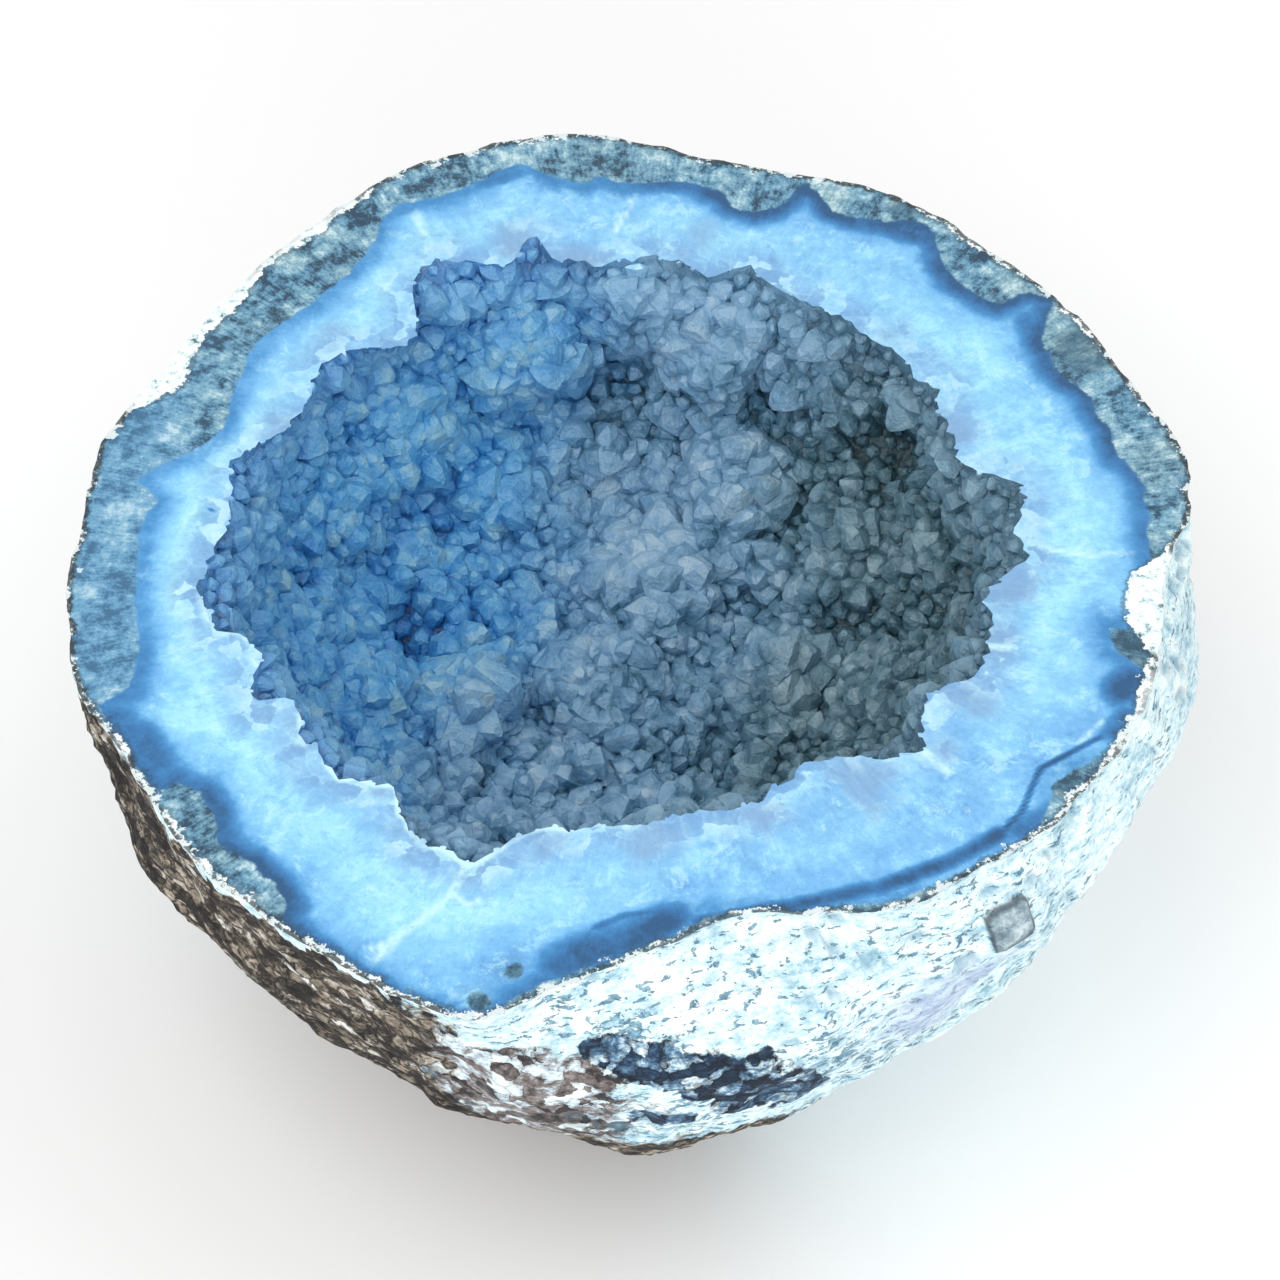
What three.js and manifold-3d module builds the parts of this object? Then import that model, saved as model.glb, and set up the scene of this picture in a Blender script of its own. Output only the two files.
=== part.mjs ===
// Half of a quartz geode: a round nodule sawn through, with a thick banded stone wall and a hollow
// lined by one crust of quartz points. It rests on a small flat on its rounded underside.
// Millimetres, +Z up. The origin is the centre of the resting flat and the saw cut faces up.
import * as THREE from "three";
import { mergeVertices } from "three/addons/utils/BufferGeometryUtils.js";
import Module from "manifold-3d";

const wasm = await Module();
wasm.setup();

// Whole stone
const HEIGHT = 40;
const REST_FLAT_SHARE = 0.27;
const GIRTH_DEPTH_SHARE = 0.22;
const RIND_LUMPS = [
  { size: 9, relief: 1.0 },
  { size: 4.5, relief: 0.55 },
];

// Edge of the saw cut, seen from above, anticlockwise from the right
const RIM = [
  [41, 6], [39.5, 13.5], [36.5, 18.5], [35, 23], [28, 31], [22, 37], [16.5, 39.5], [9.5, 41], [3, 43],
  [-3, 45], [-9.5, 44.5], [-15.5, 42.5], [-21, 39.5], [-26.5, 33.5], [-30.5, 29], [-34.5, 22],
  [-38.5, 15.5], [-40.3, 12], [-40.7, 8], [-41.3, 2], [-41.5, -5], [-40, -13], [-37, -17],
  [-33.5, -23.5], [-29.5, -29], [-20, -36.5], [-15.5, -39.5], [-12, -41.5], [-6.5, -38.5],
  [-2, -36.5], [2, -34.5], [7, -32], [12.5, -32], [18, -31.5], [23, -28.5], [27.5, -25.5],
  [33, -19], [36.5, -12], [37.5, -7.5], [38, -1.5],
];

// Widest section of the nodule, a little below the saw cut: one radius every 15 degrees from the right
const GIRTH_RADII = [
  42.5, 42, 42, 42, 43, 43.5, 44, 44, 44, 42.5, 42, 41.5,
  41, 42, 41.8, 40.6, 41, 42.5, 42.5, 41.5, 39.8, 39.8, 40.6, 41,
];

// Edge of the open hollow on the saw cut, where the sliced crystals end
const HOLLOW_EDGE = [
  [28.5, 0], [27.5, 3], [28.5, 6.5], [28, 8.5], [23.5, 10], [23.5, 12.5], [22.5, 17], [19.5, 21.5],
  [15.5, 24], [11.5, 27], [8.5, 30], [7.5, 29], [2, 30.5], [-1.5, 31.5], [-4, 29.5], [-7, 31],
  [-9.5, 32.5], [-12.5, 31], [-16.5, 31], [-18.5, 27.5], [-22, 23], [-25, 20], [-28, 16], [-30.5, 10.5],
  [-30.5, 6.5], [-31, 1], [-32.5, -3], [-29.5, -6.5], [-27, -9.5], [-27.5, -11.5], [-25.5, -12.5],
  [-24, -16.5], [-21, -20], [-17, -21], [-15, -26], [-12, -27.5], [-10, -26.5], [-6, -24.5],
  [-0.5, -24.5], [3.5, -23], [8, -22.5], [12, -18.5], [15, -18], [20, -18], [19.5, -14.5],
  [20.5, -12.5], [24.5, -10], [25.5, -6.5], [25, -3.5],
];

// Hollow and its crust
const HOLLOW_DEPTH = 24;
const CRUST_THICKNESS = 3.6;
const CRUST_GAP = 0.3;
const HOLLOW_FULLNESS = 2.3;
const EDGE_SMOOTHING = 0.22;
const LUMP_RELIEF = 1.5;
const LUMP_SIZE = 11;

// Quartz points packed side by side over the bed, and the few that stand clear of it
const POINT_PROUD = [0.5, 2.3];
const VALLEY_SINK = 0.5;
const POINT_JITTER = 0.045;
const MOUTH_DEPTH = 4;
const MOUTH_LIFT_SHARE = 0.3;
const TALL_COUNT = 34;
const TALL_RADIUS = [1.5, 2.5];
const TALL_FOOT_SHARE = 0.8;
const TALL_HIGHEST_DROP = 0.15;
const TALL_ROOT = 2.6;
const TALL_PROUD = 1.6;
const TALL_LEAN = 0.4;
const TIP_RISE = 1.15;
const HEXAGON = 6;

// Mesh resolution
const SECTORS = 72;
const WALL_RINGS = 14;
const WALL_RING_CROWDING = 1.3;
const BOWL_RINGS = 6;
const BED_DETAIL = 9;
const CURVE_STEPS = 400;
const SMOOTHING_STEPS = 12;
const SAW_CLEARANCE = 6;
const MERGE_TOLERANCE = 1e-4;

const STONE_FINISH = { color: 0xbfd3da, roughness: 0.55, metalness: 0 };
const CRYSTAL_FINISH = { color: 0x6f8aa8, roughness: 0.25, metalness: 0 };

/** Seeded random numbers from 0 to 1. */
function randomStream(seed) {
  let state = seed;
  return () => {
    state = (state + 0x6d2b79f5) | 0;
    let mixed = Math.imul(state ^ (state >>> 15), 1 | state);
    mixed = (mixed + Math.imul(mixed ^ (mixed >>> 7), 61 | mixed)) ^ mixed;
    return ((mixed ^ (mixed >>> 14)) >>> 0) / 4294967296;
  };
}

/** A fixed value from -1 to 1 for each corner of a unit lattice. */
function cornerValue(i, j, k) {
  const wave = Math.sin(i * 127.1 + j * 311.7 + k * 74.7) * 43758.5453;
  return 2 * (wave - Math.floor(wave)) - 1;
}

/** Smooth noise from -1 to 1 whose lumps are about one unit across. */
function lumps(x, y, z) {
  const cell = [Math.floor(x), Math.floor(y), Math.floor(z)];
  const ease = (t) => t * t * (3 - 2 * t);
  const share = [ease(x - cell[0]), ease(y - cell[1]), ease(z - cell[2])];
  let sum = 0;
  for (let corner = 0; corner < 8; corner += 1) {
    const step = [corner & 1, (corner >> 1) & 1, (corner >> 2) & 1];
    const weight = step.reduce((w, s, axis) => w * (s ? share[axis] : 1 - share[axis]), 1);
    sum += weight * cornerValue(cell[0] + step[0], cell[1] + step[1], cell[2] + step[2]);
  }
  return sum;
}

/** Radius of a closed outline as a function of bearing, with its corners eased by a spline. */
function radiusOf(outline) {
  const knots = outline.map(([x, y]) => new THREE.Vector3(x, y, 0));
  const loop = new THREE.CatmullRomCurve3(knots, true, "centripetal").getPoints(CURVE_STEPS);
  return (bearing) => {
    const along = new THREE.Vector3(Math.cos(bearing), Math.sin(bearing), 0);
    let best = 0;
    for (let i = 0; i < CURVE_STEPS; i += 1) {
      const [a, b] = [loop[i], loop[i + 1]];
      const sideA = along.x * a.y - along.y * a.x;
      const sideB = along.x * b.y - along.y * b.x;
      if (sideA * sideB > 0 || sideA === sideB) continue;
      const t = sideA / (sideA - sideB);
      best = Math.max(best, along.x * (a.x + t * (b.x - a.x)) + along.y * (a.y + t * (b.y - a.y)));
    }
    return best;
  };
}

/** Radius at a bearing from a ring of radii spaced evenly round a full turn. */
function radiusFromRing(radii, bearing) {
  const place = ((bearing / (2 * Math.PI)) * radii.length + radii.length) % radii.length;
  const low = Math.floor(place);
  const share = (1 - Math.cos(Math.PI * (place - low))) / 2;
  return radii[low % radii.length] * (1 - share) + radii[(low + 1) % radii.length] * share;
}

/** Mean of a radius function over a window of bearings. */
function smoothed(radius, window) {
  const steps = SMOOTHING_STEPS;
  return (bearing) => {
    let sum = 0;
    for (let i = -steps; i <= steps; i += 1) sum += radius(bearing + (window * i) / steps);
    return sum / (2 * steps + 1);
  };
}

const rimRadius = radiusOf(RIM);
const edgeRadius = radiusOf(HOLLOW_EDGE);
const stoneEdgeRadius = smoothed(edgeRadius, EDGE_SMOOTHING);

/** Plan radius of the nodule's skin at a bearing and a height. */
function skinRadius(bearing, z) {
  const depth = (HEIGHT - z) / HEIGHT;
  const ease = Math.sin((Math.PI / 2) * Math.min(1, depth / GIRTH_DEPTH_SHARE));
  const plan = THREE.MathUtils.lerp(rimRadius(bearing), radiusFromRing(GIRTH_RADII, bearing), ease);
  const taper = Math.sqrt(1 - depth * depth * (1 - REST_FLAT_SHARE * REST_FLAT_SHARE));
  const x = Math.cos(bearing) * plan;
  const y = Math.sin(bearing) * plan;
  const relief = RIND_LUMPS.reduce(
    (sum, lump) => sum + lump.relief * lumps(x / lump.size, y / lump.size, z / lump.size),
    0,
  );
  const fade = THREE.MathUtils.smoothstep(depth, 0, GIRTH_DEPTH_SHARE / 2);
  return plan * taper + relief * fade;
}

/** How far a bowl of the given depth still reaches out, as a share of its mouth, below the saw cut. */
function bowlShare(z, depth) {
  const below = Math.min(1, Math.max(0, (HEIGHT - z) / depth));
  return Math.pow(1 - Math.pow(below, HOLLOW_FULLNESS), 1 / HOLLOW_FULLNESS);
}

/** Turned solid whose wall is pushed out to radiusAt(bearing, z). Heights run from low to high. */
function turnedSolid(heights, radiusAt, pointedFoot) {
  const profile = heights.map((z) => new THREE.Vector2(1, z));
  if (pointedFoot) profile[0].x = 0;
  else profile.unshift(new THREE.Vector2(0, heights[0]));
  profile.push(new THREE.Vector2(0, heights[heights.length - 1]));
  const shape = new THREE.LatheGeometry(profile, SECTORS).rotateX(Math.PI / 2);
  const position = shape.getAttribute("position");
  for (let i = 0; i < position.count; i += 1) {
    const [x, y, z] = [position.getX(i), position.getY(i), position.getZ(i)];
    if (Math.hypot(x, y) < 0.5) position.setXY(i, 0, 0);
    else {
      const bearing = Math.atan2(y, x);
      const radius = radiusAt(bearing, z);
      position.setXY(i, Math.cos(bearing) * radius, Math.sin(bearing) * radius);
    }
  }
  return solidOf(shape);
}

/** A three.js shape with only positions, its shared vertices merged. */
function bareShape(shape) {
  const bare = shape.clone();
  bare.deleteAttribute("normal");
  bare.deleteAttribute("uv");
  return mergeVertices(bare, MERGE_TOLERANCE);
}

/** A closed three.js shape as a solid for joining and cutting. */
function solidOf(shape) {
  const merged = bareShape(shape);
  return new wasm.Manifold(
    new wasm.Mesh({
      numProp: 3,
      vertProperties: new Float32Array(merged.attributes.position.array),
      triVerts: new Uint32Array(merged.index.array),
    }),
  );
}

/** The largest connected skin of a solid, without its loose chips and sealed pockets. */
function mainBody(solid) {
  return solid.decompose().reduce((a, b) => (a.volume() > b.volume() ? a : b));
}

/** A solid turned back into a named three.js mesh. */
function meshOf(name, solid, finish) {
  const { vertProperties, triVerts } = solid.getMesh();
  const shape = new THREE.BufferGeometry();
  shape.setAttribute("position", new THREE.BufferAttribute(vertProperties, 3));
  shape.setIndex(new THREE.BufferAttribute(triVerts, 1));
  shape.computeVertexNormals();
  const mesh = new THREE.Mesh(shape, new THREE.MeshStandardMaterial({ ...finish, flatShading: true }));
  mesh.name = name;
  return mesh;
}

/** Heights of the rings of a bowl of the given depth, closer together near its foot. */
function bowlHeights(depth, top) {
  const heights = [];
  for (let ring = BOWL_RINGS; ring > 0; ring -= 1) {
    heights.push(HEIGHT - depth * Math.sin((Math.PI / 2) * (ring / BOWL_RINGS)));
  }
  heights.push(HEIGHT);
  if (top > HEIGHT) heights.push(top);
  return heights;
}

/** The space that the stone wall leaves, up to a height at or above the saw cut. */
function stoneHollow(inset, top) {
  const depth = HOLLOW_DEPTH + CRUST_THICKNESS - inset;
  const radiusAt = (bearing, z) =>
    (stoneEdgeRadius(bearing) + CRUST_THICKNESS - inset) * bowlShare(z, depth);
  return turnedSolid(bowlHeights(depth, top), radiusAt, true);
}

/** A place on the bed of the crust in a direction from the mouth's middle, lifted into the hollow. */
function onBed(direction, lift) {
  const power = 2 / HOLLOW_FULLNESS;
  const bearing = Math.atan2(direction.y, direction.x);
  const below = HOLLOW_DEPTH * Math.pow(Math.abs(direction.z), power);
  const inside = THREE.MathUtils.smoothstep(below, 0, MOUTH_DEPTH);
  const mouth = THREE.MathUtils.lerp(edgeRadius(bearing), stoneEdgeRadius(bearing), inside);
  const reach = mouth * Math.pow(Math.hypot(direction.x, direction.y), power);
  const height = HEIGHT - Math.sign(-direction.z) * below;
  const place = new THREE.Vector3(Math.cos(bearing) * reach, Math.sin(bearing) * reach, height);
  const swell = lumps(place.x / LUMP_SIZE, place.y / LUMP_SIZE, place.z / LUMP_SIZE) * LUMP_RELIEF;
  const inward = new THREE.Vector3(0, 0, HEIGHT).sub(place).normalize();
  const share = THREE.MathUtils.lerp(MOUTH_LIFT_SHARE, 1, inside);
  return place.addScaledVector(inward, (lift + swell) * share);
}

/** The open hollow as a solid: every corner of a fine ball is a quartz point that digs into it. */
function openHollow(random) {
  const ball = bareShape(new THREE.IcosahedronGeometry(1, BED_DETAIL));
  const corners = ball.getAttribute("position");
  const faces = ball.index.array;
  const stray = () => (random() - 0.5) * 2 * POINT_JITTER;
  const strayed = (direction) =>
    direction.add(new THREE.Vector3(stray(), stray(), stray() * Math.abs(direction.z))).normalize();
  const vertices = [];
  for (let i = 0; i < corners.count; i += 1) {
    const direction = strayed(new THREE.Vector3().fromBufferAttribute(corners, i));
    const proud = THREE.MathUtils.lerp(POINT_PROUD[0], POINT_PROUD[1], random());
    vertices.push(...onBed(direction, proud).toArray());
  }
  const faceOfEdge = new Map();
  for (let f = 0; f < faces.length; f += 3) {
    const middle = new THREE.Vector3();
    for (let k = 0; k < 3; k += 1) {
      middle.add(new THREE.Vector3().fromBufferAttribute(corners, faces[f + k]));
      faceOfEdge.set(faces[f + k] * corners.count + faces[f + ((k + 1) % 3)], f / 3);
    }
    vertices.push(...onBed(middle.normalize(), -VALLEY_SINK * random()).toArray());
  }
  const triangles = [];
  for (const [edge, face] of faceOfEdge) {
    const [from, to] = [Math.floor(edge / corners.count), edge % corners.count];
    const twin = faceOfEdge.get(to * corners.count + from);
    triangles.push(from, corners.count + twin, corners.count + face);
  }
  const hollow = new THREE.BufferGeometry();
  hollow.setAttribute("position", new THREE.BufferAttribute(new Float32Array(vertices), 3));
  hollow.setIndex(triangles);
  return solidOf(hollow);
}

/** One six-sided quartz point with a pyramid on its end, standing on the XY plane. */
function quartzPoint(radius) {
  const profile = [
    new THREE.Vector2(0, -TALL_ROOT),
    new THREE.Vector2(radius * TALL_FOOT_SHARE, -TALL_ROOT),
    new THREE.Vector2(radius, TALL_PROUD),
    new THREE.Vector2(0, TALL_PROUD + radius * TIP_RISE),
  ];
  return new THREE.LatheGeometry(profile, HEXAGON).rotateX(Math.PI / 2);
}

/** The taller quartz points, spread along a golden-angle spiral, each leaning its own way. */
function tallPoints(random) {
  const goldenAngle = Math.PI * (3 - Math.sqrt(5));
  const up = new THREE.Vector3(0, 0, 1);
  const points = [];
  for (let i = 0; i < TALL_COUNT; i += 1) {
    const drop = THREE.MathUtils.lerp(TALL_HIGHEST_DROP, 1, (i + 0.5) / TALL_COUNT);
    const spread = Math.sqrt(1 - drop * drop);
    const bearing = i * goldenAngle;
    const direction = new THREE.Vector3(Math.cos(bearing) * spread, Math.sin(bearing) * spread, -drop);
    const seat = onBed(direction, 0);
    const lean = () => (random() - 0.5) * 2 * TALL_LEAN;
    const inward = direction.negate().add(new THREE.Vector3(lean(), lean(), lean())).normalize();
    const radius = THREE.MathUtils.lerp(TALL_RADIUS[0], TALL_RADIUS[1], random());
    const turn = new THREE.Quaternion().setFromUnitVectors(up, inward);
    const spin = new THREE.Quaternion().setFromAxisAngle(up, random() * Math.PI);
    const place = new THREE.Matrix4().compose(seat, turn.multiply(spin), new THREE.Vector3(1, 1, 1));
    points.push(solidOf(quartzPoint(radius).applyMatrix4(place)));
  }
  return points;
}

/** Sawn nodule: rough skin outside, flat cut on top, hollow inside. */
function stoneWall() {
  const heights = [];
  for (let ring = WALL_RINGS; ring >= 0; ring -= 1) {
    const share = Math.pow(ring / WALL_RINGS, WALL_RING_CROWDING);
    heights.push(HEIGHT * (1 - Math.sin((Math.PI / 2) * share)));
  }
  const nodule = turnedSolid(heights, skinRadius, false);
  return nodule.subtract(stoneHollow(0, HEIGHT + SAW_CLEARANCE));
}

/** Crust of quartz over the whole hollow, sliced flat by the saw at its mouth. */
function crystalCrust() {
  const random = randomStream(7);
  const room = stoneHollow(CRUST_GAP, HEIGHT);
  let crust = room.subtract(openHollow(random));
  for (const point of tallPoints(random)) crust = crust.add(point);
  return mainBody(crust.intersect(room));
}

const geode = new THREE.Group();
geode.add(meshOf("stone_wall", stoneWall(), STONE_FINISH));
geode.add(meshOf("crystal_crust", crystalCrust(), CRYSTAL_FINISH));

export default geode;
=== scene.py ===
"""Looks of half a quartz geode: rough rind, banded saw cut and a hollow lined with quartz points.

Everything is in metres in the finished meshes. Sizes below are in millimetres, because that is how
a stone is measured, and are scaled once when a mesh is made. The main forms are measured on the
frame, so a changed solid changes the looks with it.
"""
import logging
import math
from dataclasses import dataclass, field
from enum import Enum

import bmesh
import bpy
import numpy as np
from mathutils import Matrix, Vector
from mathutils.bvhtree import BVHTree


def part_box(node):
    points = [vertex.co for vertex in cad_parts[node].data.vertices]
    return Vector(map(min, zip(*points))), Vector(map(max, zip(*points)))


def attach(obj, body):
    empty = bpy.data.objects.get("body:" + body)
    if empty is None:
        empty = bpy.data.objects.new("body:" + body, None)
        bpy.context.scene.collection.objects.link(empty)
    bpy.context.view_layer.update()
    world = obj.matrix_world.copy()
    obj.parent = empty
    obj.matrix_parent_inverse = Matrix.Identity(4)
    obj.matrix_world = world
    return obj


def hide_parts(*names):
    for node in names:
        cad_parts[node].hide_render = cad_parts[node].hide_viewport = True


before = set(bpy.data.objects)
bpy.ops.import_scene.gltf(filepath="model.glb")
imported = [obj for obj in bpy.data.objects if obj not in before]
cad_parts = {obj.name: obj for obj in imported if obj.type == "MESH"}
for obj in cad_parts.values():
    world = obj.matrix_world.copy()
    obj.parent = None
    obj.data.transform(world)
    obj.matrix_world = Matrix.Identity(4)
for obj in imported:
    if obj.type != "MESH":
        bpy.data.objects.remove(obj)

log = logging.getLogger("geode")
MM = 0.001
FULL_TURN = 2.0 * math.pi
STONE_NODE = "stone_wall"
CRUST_NODE = "crystal_crust"
BODY = "root"


class StoneZone(Enum):
    """Which finish a face of the stone takes, as its material slot number."""

    CUT = 0
    RIND = 1
    BOWL = 2


class CrustZone(Enum):
    """Which finish a face of the crust takes, as its material slot number."""

    CUT = 0
    QUARTZ = 1


# Outlines read in the photograph's 1280 pixel frame. All of them lie on the saw cut.
CRYSTAL_EDGE = [
    (214, 620), (218, 635), (227, 630), (242, 633), (253, 644), (264, 655), (263, 666), (253, 678),
    (253, 696), (259, 704), (274, 696), (287, 696), (296, 700), (302, 717), (303, 730), (300, 744),
    (316, 744), (326, 752), (327, 763), (341, 779), (357, 776), (376, 784), (396, 784), (400, 795),
    (400, 813), (409, 819), (410, 828), (424, 845), (443, 847), (458, 856), (469, 865), (487, 856),
    (506, 843), (525, 832), (547, 825), (569, 828), (595, 823), (618, 824), (643, 826), (653, 817),
    (673, 815), (693, 809), (733, 811), (747, 803), (763, 797), (773, 787), (790, 782), (800, 767),
    (813, 758), (833, 757), (853, 755), (880, 757), (907, 753), (923, 748), (922, 730), (917, 715),
    (927, 703), (927, 692), (943, 688), (960, 680), (977, 673), (982, 660), (988, 647), (988, 633),
    (990, 617), (983, 600), (990, 587), (1003, 577), (1020, 563), (1030, 557), (1022, 547), (1015, 533),
    (1018, 513), (1023, 497), (1018, 483), (1000, 478), (983, 473), (960, 465), (953, 460), (957, 437),
    (943, 432), (948, 423), (933, 410), (937, 390), (913, 380), (915, 372), (897, 355), (880, 343),
    (870, 337), (847, 323), (837, 317), (816, 306), (784, 296), (765, 284), (751, 267), (726, 271),
    (706, 280), (698, 274), (679, 263), (655, 257), (632, 261), (610, 262), (597, 268), (575, 260),
    (558, 262), (547, 257), (540, 240), (531, 233), (520, 250), (513, 263), (490, 266), (463, 262),
    (440, 260), (420, 268), (412, 286), (415, 310), (418, 330), (410, 345), (393, 348), (370, 348),
    (350, 350), (336, 354), (327, 363), (313, 380), (310, 406), (290, 420), (286, 433), (265, 442),
    (247, 453), (231, 462), (233, 487), (229, 520), (220, 545), (212, 556), (206, 573), (200, 590),
    (202, 603),
]
GREY_LAYER_EDGE = [
    (138, 560), (136, 600), (140, 640), (137, 665), (128, 690), (100, 705), (112, 745), (160, 790),
    (178, 782), (200, 790), (216, 815), (222, 845), (250, 862), (272, 882), (288, 905), (282, 925),
    (330, 962), (400, 1000), (470, 1022), (540, 985), (620, 957), (720, 912), (800, 912), (900, 900),
    (975, 865), (1035, 832), (1052, 795), (1062, 776), (1100, 757), (1145, 705), (1160, 690),
    (1140, 664), (1115, 650), (1110, 629), (1148, 627), (1156, 600), (1150, 558), (1148, 535),
    (1146, 511), (1143, 484), (1132, 468), (1117, 456), (1109, 429), (1095, 413), (1089, 394),
    (1070, 382), (1054, 370), (1048, 355), (1040, 339), (1047, 315), (1052, 299), (1031, 292),
    (1015, 297), (999, 304), (980, 298), (960, 284), (945, 269), (939, 253), (933, 237), (929, 226),
    (913, 220), (886, 222), (855, 218), (831, 210), (819, 194), (808, 184), (796, 190), (792, 198),
    (776, 208), (753, 212), (733, 208), (726, 194), (710, 190), (690, 183), (667, 181), (643, 183),
    (620, 184), (600, 176), (585, 184), (560, 180), (540, 170), (515, 165), (495, 172), (480, 182),
    (440, 198), (400, 205), (381, 219), (378, 238), (368, 254), (345, 276), (328, 291), (300, 312),
    (274, 329), (258, 343), (247, 361), (240, 380), (231, 399), (226, 418), (221, 433), (195, 452),
    (167, 463), (150, 473), (135, 482), (149, 488), (157, 500), (148, 514), (140, 532),
]


@dataclass(frozen=True)
class Mound:
    """A swelling of the hollow's bed, or a recess where the rise is below nothing.

    Its middle is read in the photograph's frame. Radius and rise are in millimetres.
    """

    column: float
    row: float
    radius: float
    rise: float


@dataclass(frozen=True)
class Spot:
    """A round patch on the saw cut. Its middle is read in the photograph's frame."""

    column: float
    row: float
    radius: float


@dataclass(frozen=True)
class Streak:
    """A line on the saw cut through places read in the photograph's frame.

    Its width is in millimetres and its strength from 0 to 1.
    """

    corners: tuple[tuple[float, float], ...]
    width: float
    strength: float = 1.0


MOUNDS = [
    Mound(655, 580, 7.0, 3.6), Mound(745, 485, 5.2, 3.0), Mound(715, 335, 4.4, 3.6),
    Mound(640, 290, 4.2, 2.6), Mound(520, 360, 5.0, 2.2), Mound(400, 420, 5.2, 2.2),
    Mound(480, 480, 4.2, 2.0), Mound(330, 500, 4.4, 2.0), Mound(540, 520, 4.0, 2.2),
    Mound(600, 690, 5.2, 2.6), Mound(470, 690, 4.8, 2.4), Mound(850, 560, 4.6, 2.0),
    Mound(790, 690, 5.0, 2.2), Mound(350, 690, 3.8, 1.8), Mound(880, 690, 3.6, 1.8),
    Mound(620, 385, 4.4, -2.2), Mound(760, 410, 3.2, -2.0), Mound(405, 630, 3.6, -2.4),
    Mound(900, 450, 5.0, -1.8), Mound(880, 365, 3.4, -1.6), Mound(700, 770, 4.2, -1.4),
]
GREY_SPOTS = [
    Spot(1128, 642, 1.3), Spot(1150, 656, 1.5), Spot(1170, 668, 1.1), Spot(1066, 788, 1.1),
    Spot(514, 972, 0.75), Spot(480, 1002, 0.85), Spot(905, 208, 1.2), Spot(1085, 350, 2.4),
]
VIOLET_SPOTS = [
    Spot(1012, 590, 2.6), Spot(975, 705, 2.4), Spot(950, 752, 1.7), Spot(865, 790, 3.0), Spot(760, 822, 2.2),
    Spot(655, 850, 2.4), Spot(545, 850, 2.2), Spot(360, 742, 1.7), Spot(300, 720, 1.4), Spot(575, 262, 2.6),
    Spot(510, 240, 2.2), Spot(700, 236, 2.4), Spot(955, 425, 2.6), Spot(905, 330, 1.8), Spot(330, 330, 2.0),
    Spot(240, 600, 1.2), Spot(690, 300, 1.4), Spot(1000, 640, 2.0), Spot(380, 790, 1.2), Spot(275, 430, 1.6),
]
BLUE_STREAKS = [
    Streak(((560, 962), (600, 950), (640, 934), (668, 922)), 2.3, 0.95),
    Streak(((596, 928), (624, 916), (652, 912)), 0.5, 0.85),
    Streak(((700, 922), (800, 905), (880, 887), (950, 862), (1000, 834)), 0.9, 0.95),
    Streak(((1000, 834), (1022, 812), (1034, 782), (1041, 768), (1072, 752), (1102, 736)), 0.32, 1.0),
    Streak(((1020, 830), (1050, 812)), 1.5, 0.75), Streak(((1120, 690), (1134, 678), (1150, 692)), 2.0, 1.0),
    Streak(((1125, 715), (1112, 733)), 1.2, 0.8), Streak(((206, 512), (216, 508)), 0.22, 0.8),
    Streak(((850, 222), (890, 230), (925, 240)), 1.3, 0.9), Streak(((1030, 320), (1050, 360)), 1.8, 0.8),
    Streak(((480, 185), (520, 172)), 1.0, 0.7), Streak(((105, 712), (130, 735), (160, 762)), 2.4, 0.8),
]
BRIGHT_STREAKS = [
    Streak(((467, 864), (452, 893), (437, 908), (400, 935), (378, 958), (352, 985)), 0.34),
    Streak(((452, 893), (468, 906), (480, 900)), 0.22), Streak(((400, 935), (372, 950)), 0.25),
    Streak(((640, 182), (626, 210), (615, 232)), 0.3), Streak(((412, 206), (424, 234)), 0.35),
    Streak(((1040, 548), (1090, 556), (1140, 552)), 0.2), Streak(((202, 610), (216, 632)), 0.25),
    Streak(((980, 645), (1010, 648)), 0.3), Streak(((925, 752), (948, 772)), 0.3),
    Streak(((1080, 742), (1105, 720)), 0.25), Streak(((245, 655), (262, 668)), 0.22),
]

# How strong the blue line inside the grey layer is, from 0 to 1, by bearing in degrees
BLUE_BY_BEARING = [
    (0, 0.7), (25, 1.0), (60, 1.0), (82, 1.0), (95, 0.65), (120, 0.55), (150, 0.5), (190, 0.5),
    (205, 0.9), (235, 1.0), (250, 0.6), (262, 0.7), (275, 0.6), (290, 0.45), (310, 0.4), (335, 0.45),
    (345, 0.6),
]

# How dim the pale bands are, from 0 to 1, by bearing in degrees
DIM_BY_BEARING = [
    (0, 0.0), (30, 0.15), (60, 0.4), (90, 0.75), (112, 0.6), (140, 0.35), (175, 0.2), (235, 0.0),
    (250, 0.15), (262, 0.6), (285, 1.0), (320, 0.9), (345, 0.3),
]

# Middle and half width in millimetres below the saw cut of the slate stain, by bearing in degrees
SLATE_BY_BEARING = [
    (263.0, 4.0, 0.2), (266.0, 4.5, 0.8), (271.0, 5.6, 1.6), (275.5, 7.0, 2.6), (280.0, 9.2, 3.3),
    (286.0, 11.4, 3.6), (290.0, 13.0, 0.5),
]

# Width in millimetres of the white rind on the saw cut, by bearing in degrees from the right
RIND_ON_CUT = [
    (0, 1.5), (1, 0.7), (3, 0.3), (10, 0.2), (22, 0.1), (35, 0.6), (42, 0.1), (52, 0.6), (60, 0.2), (75, 0.1),
    (90, 0.1), (105, 0.2), (114, 0.1), (120, 0.6), (127, 1.0), (133, 0.7), (140, 1.2), (147, 1.1),
    (153, 1.9), (156, 1.9), (158.5, 0.3), (175, 0.1), (190, 0.2), (205, 0.6), (214, 0.3), (222, 0.7),
    (235, 0.5), (250, 0.5), (265, 0.3), (285, 0.3), (310, 0.2), (325, 0.4), (335, 0.7), (343, 0.8),
    (346, 0.5), (348, 1.5), (350.5, 2.6), (355, 2.8), (358.5, 2.3),
]


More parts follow.
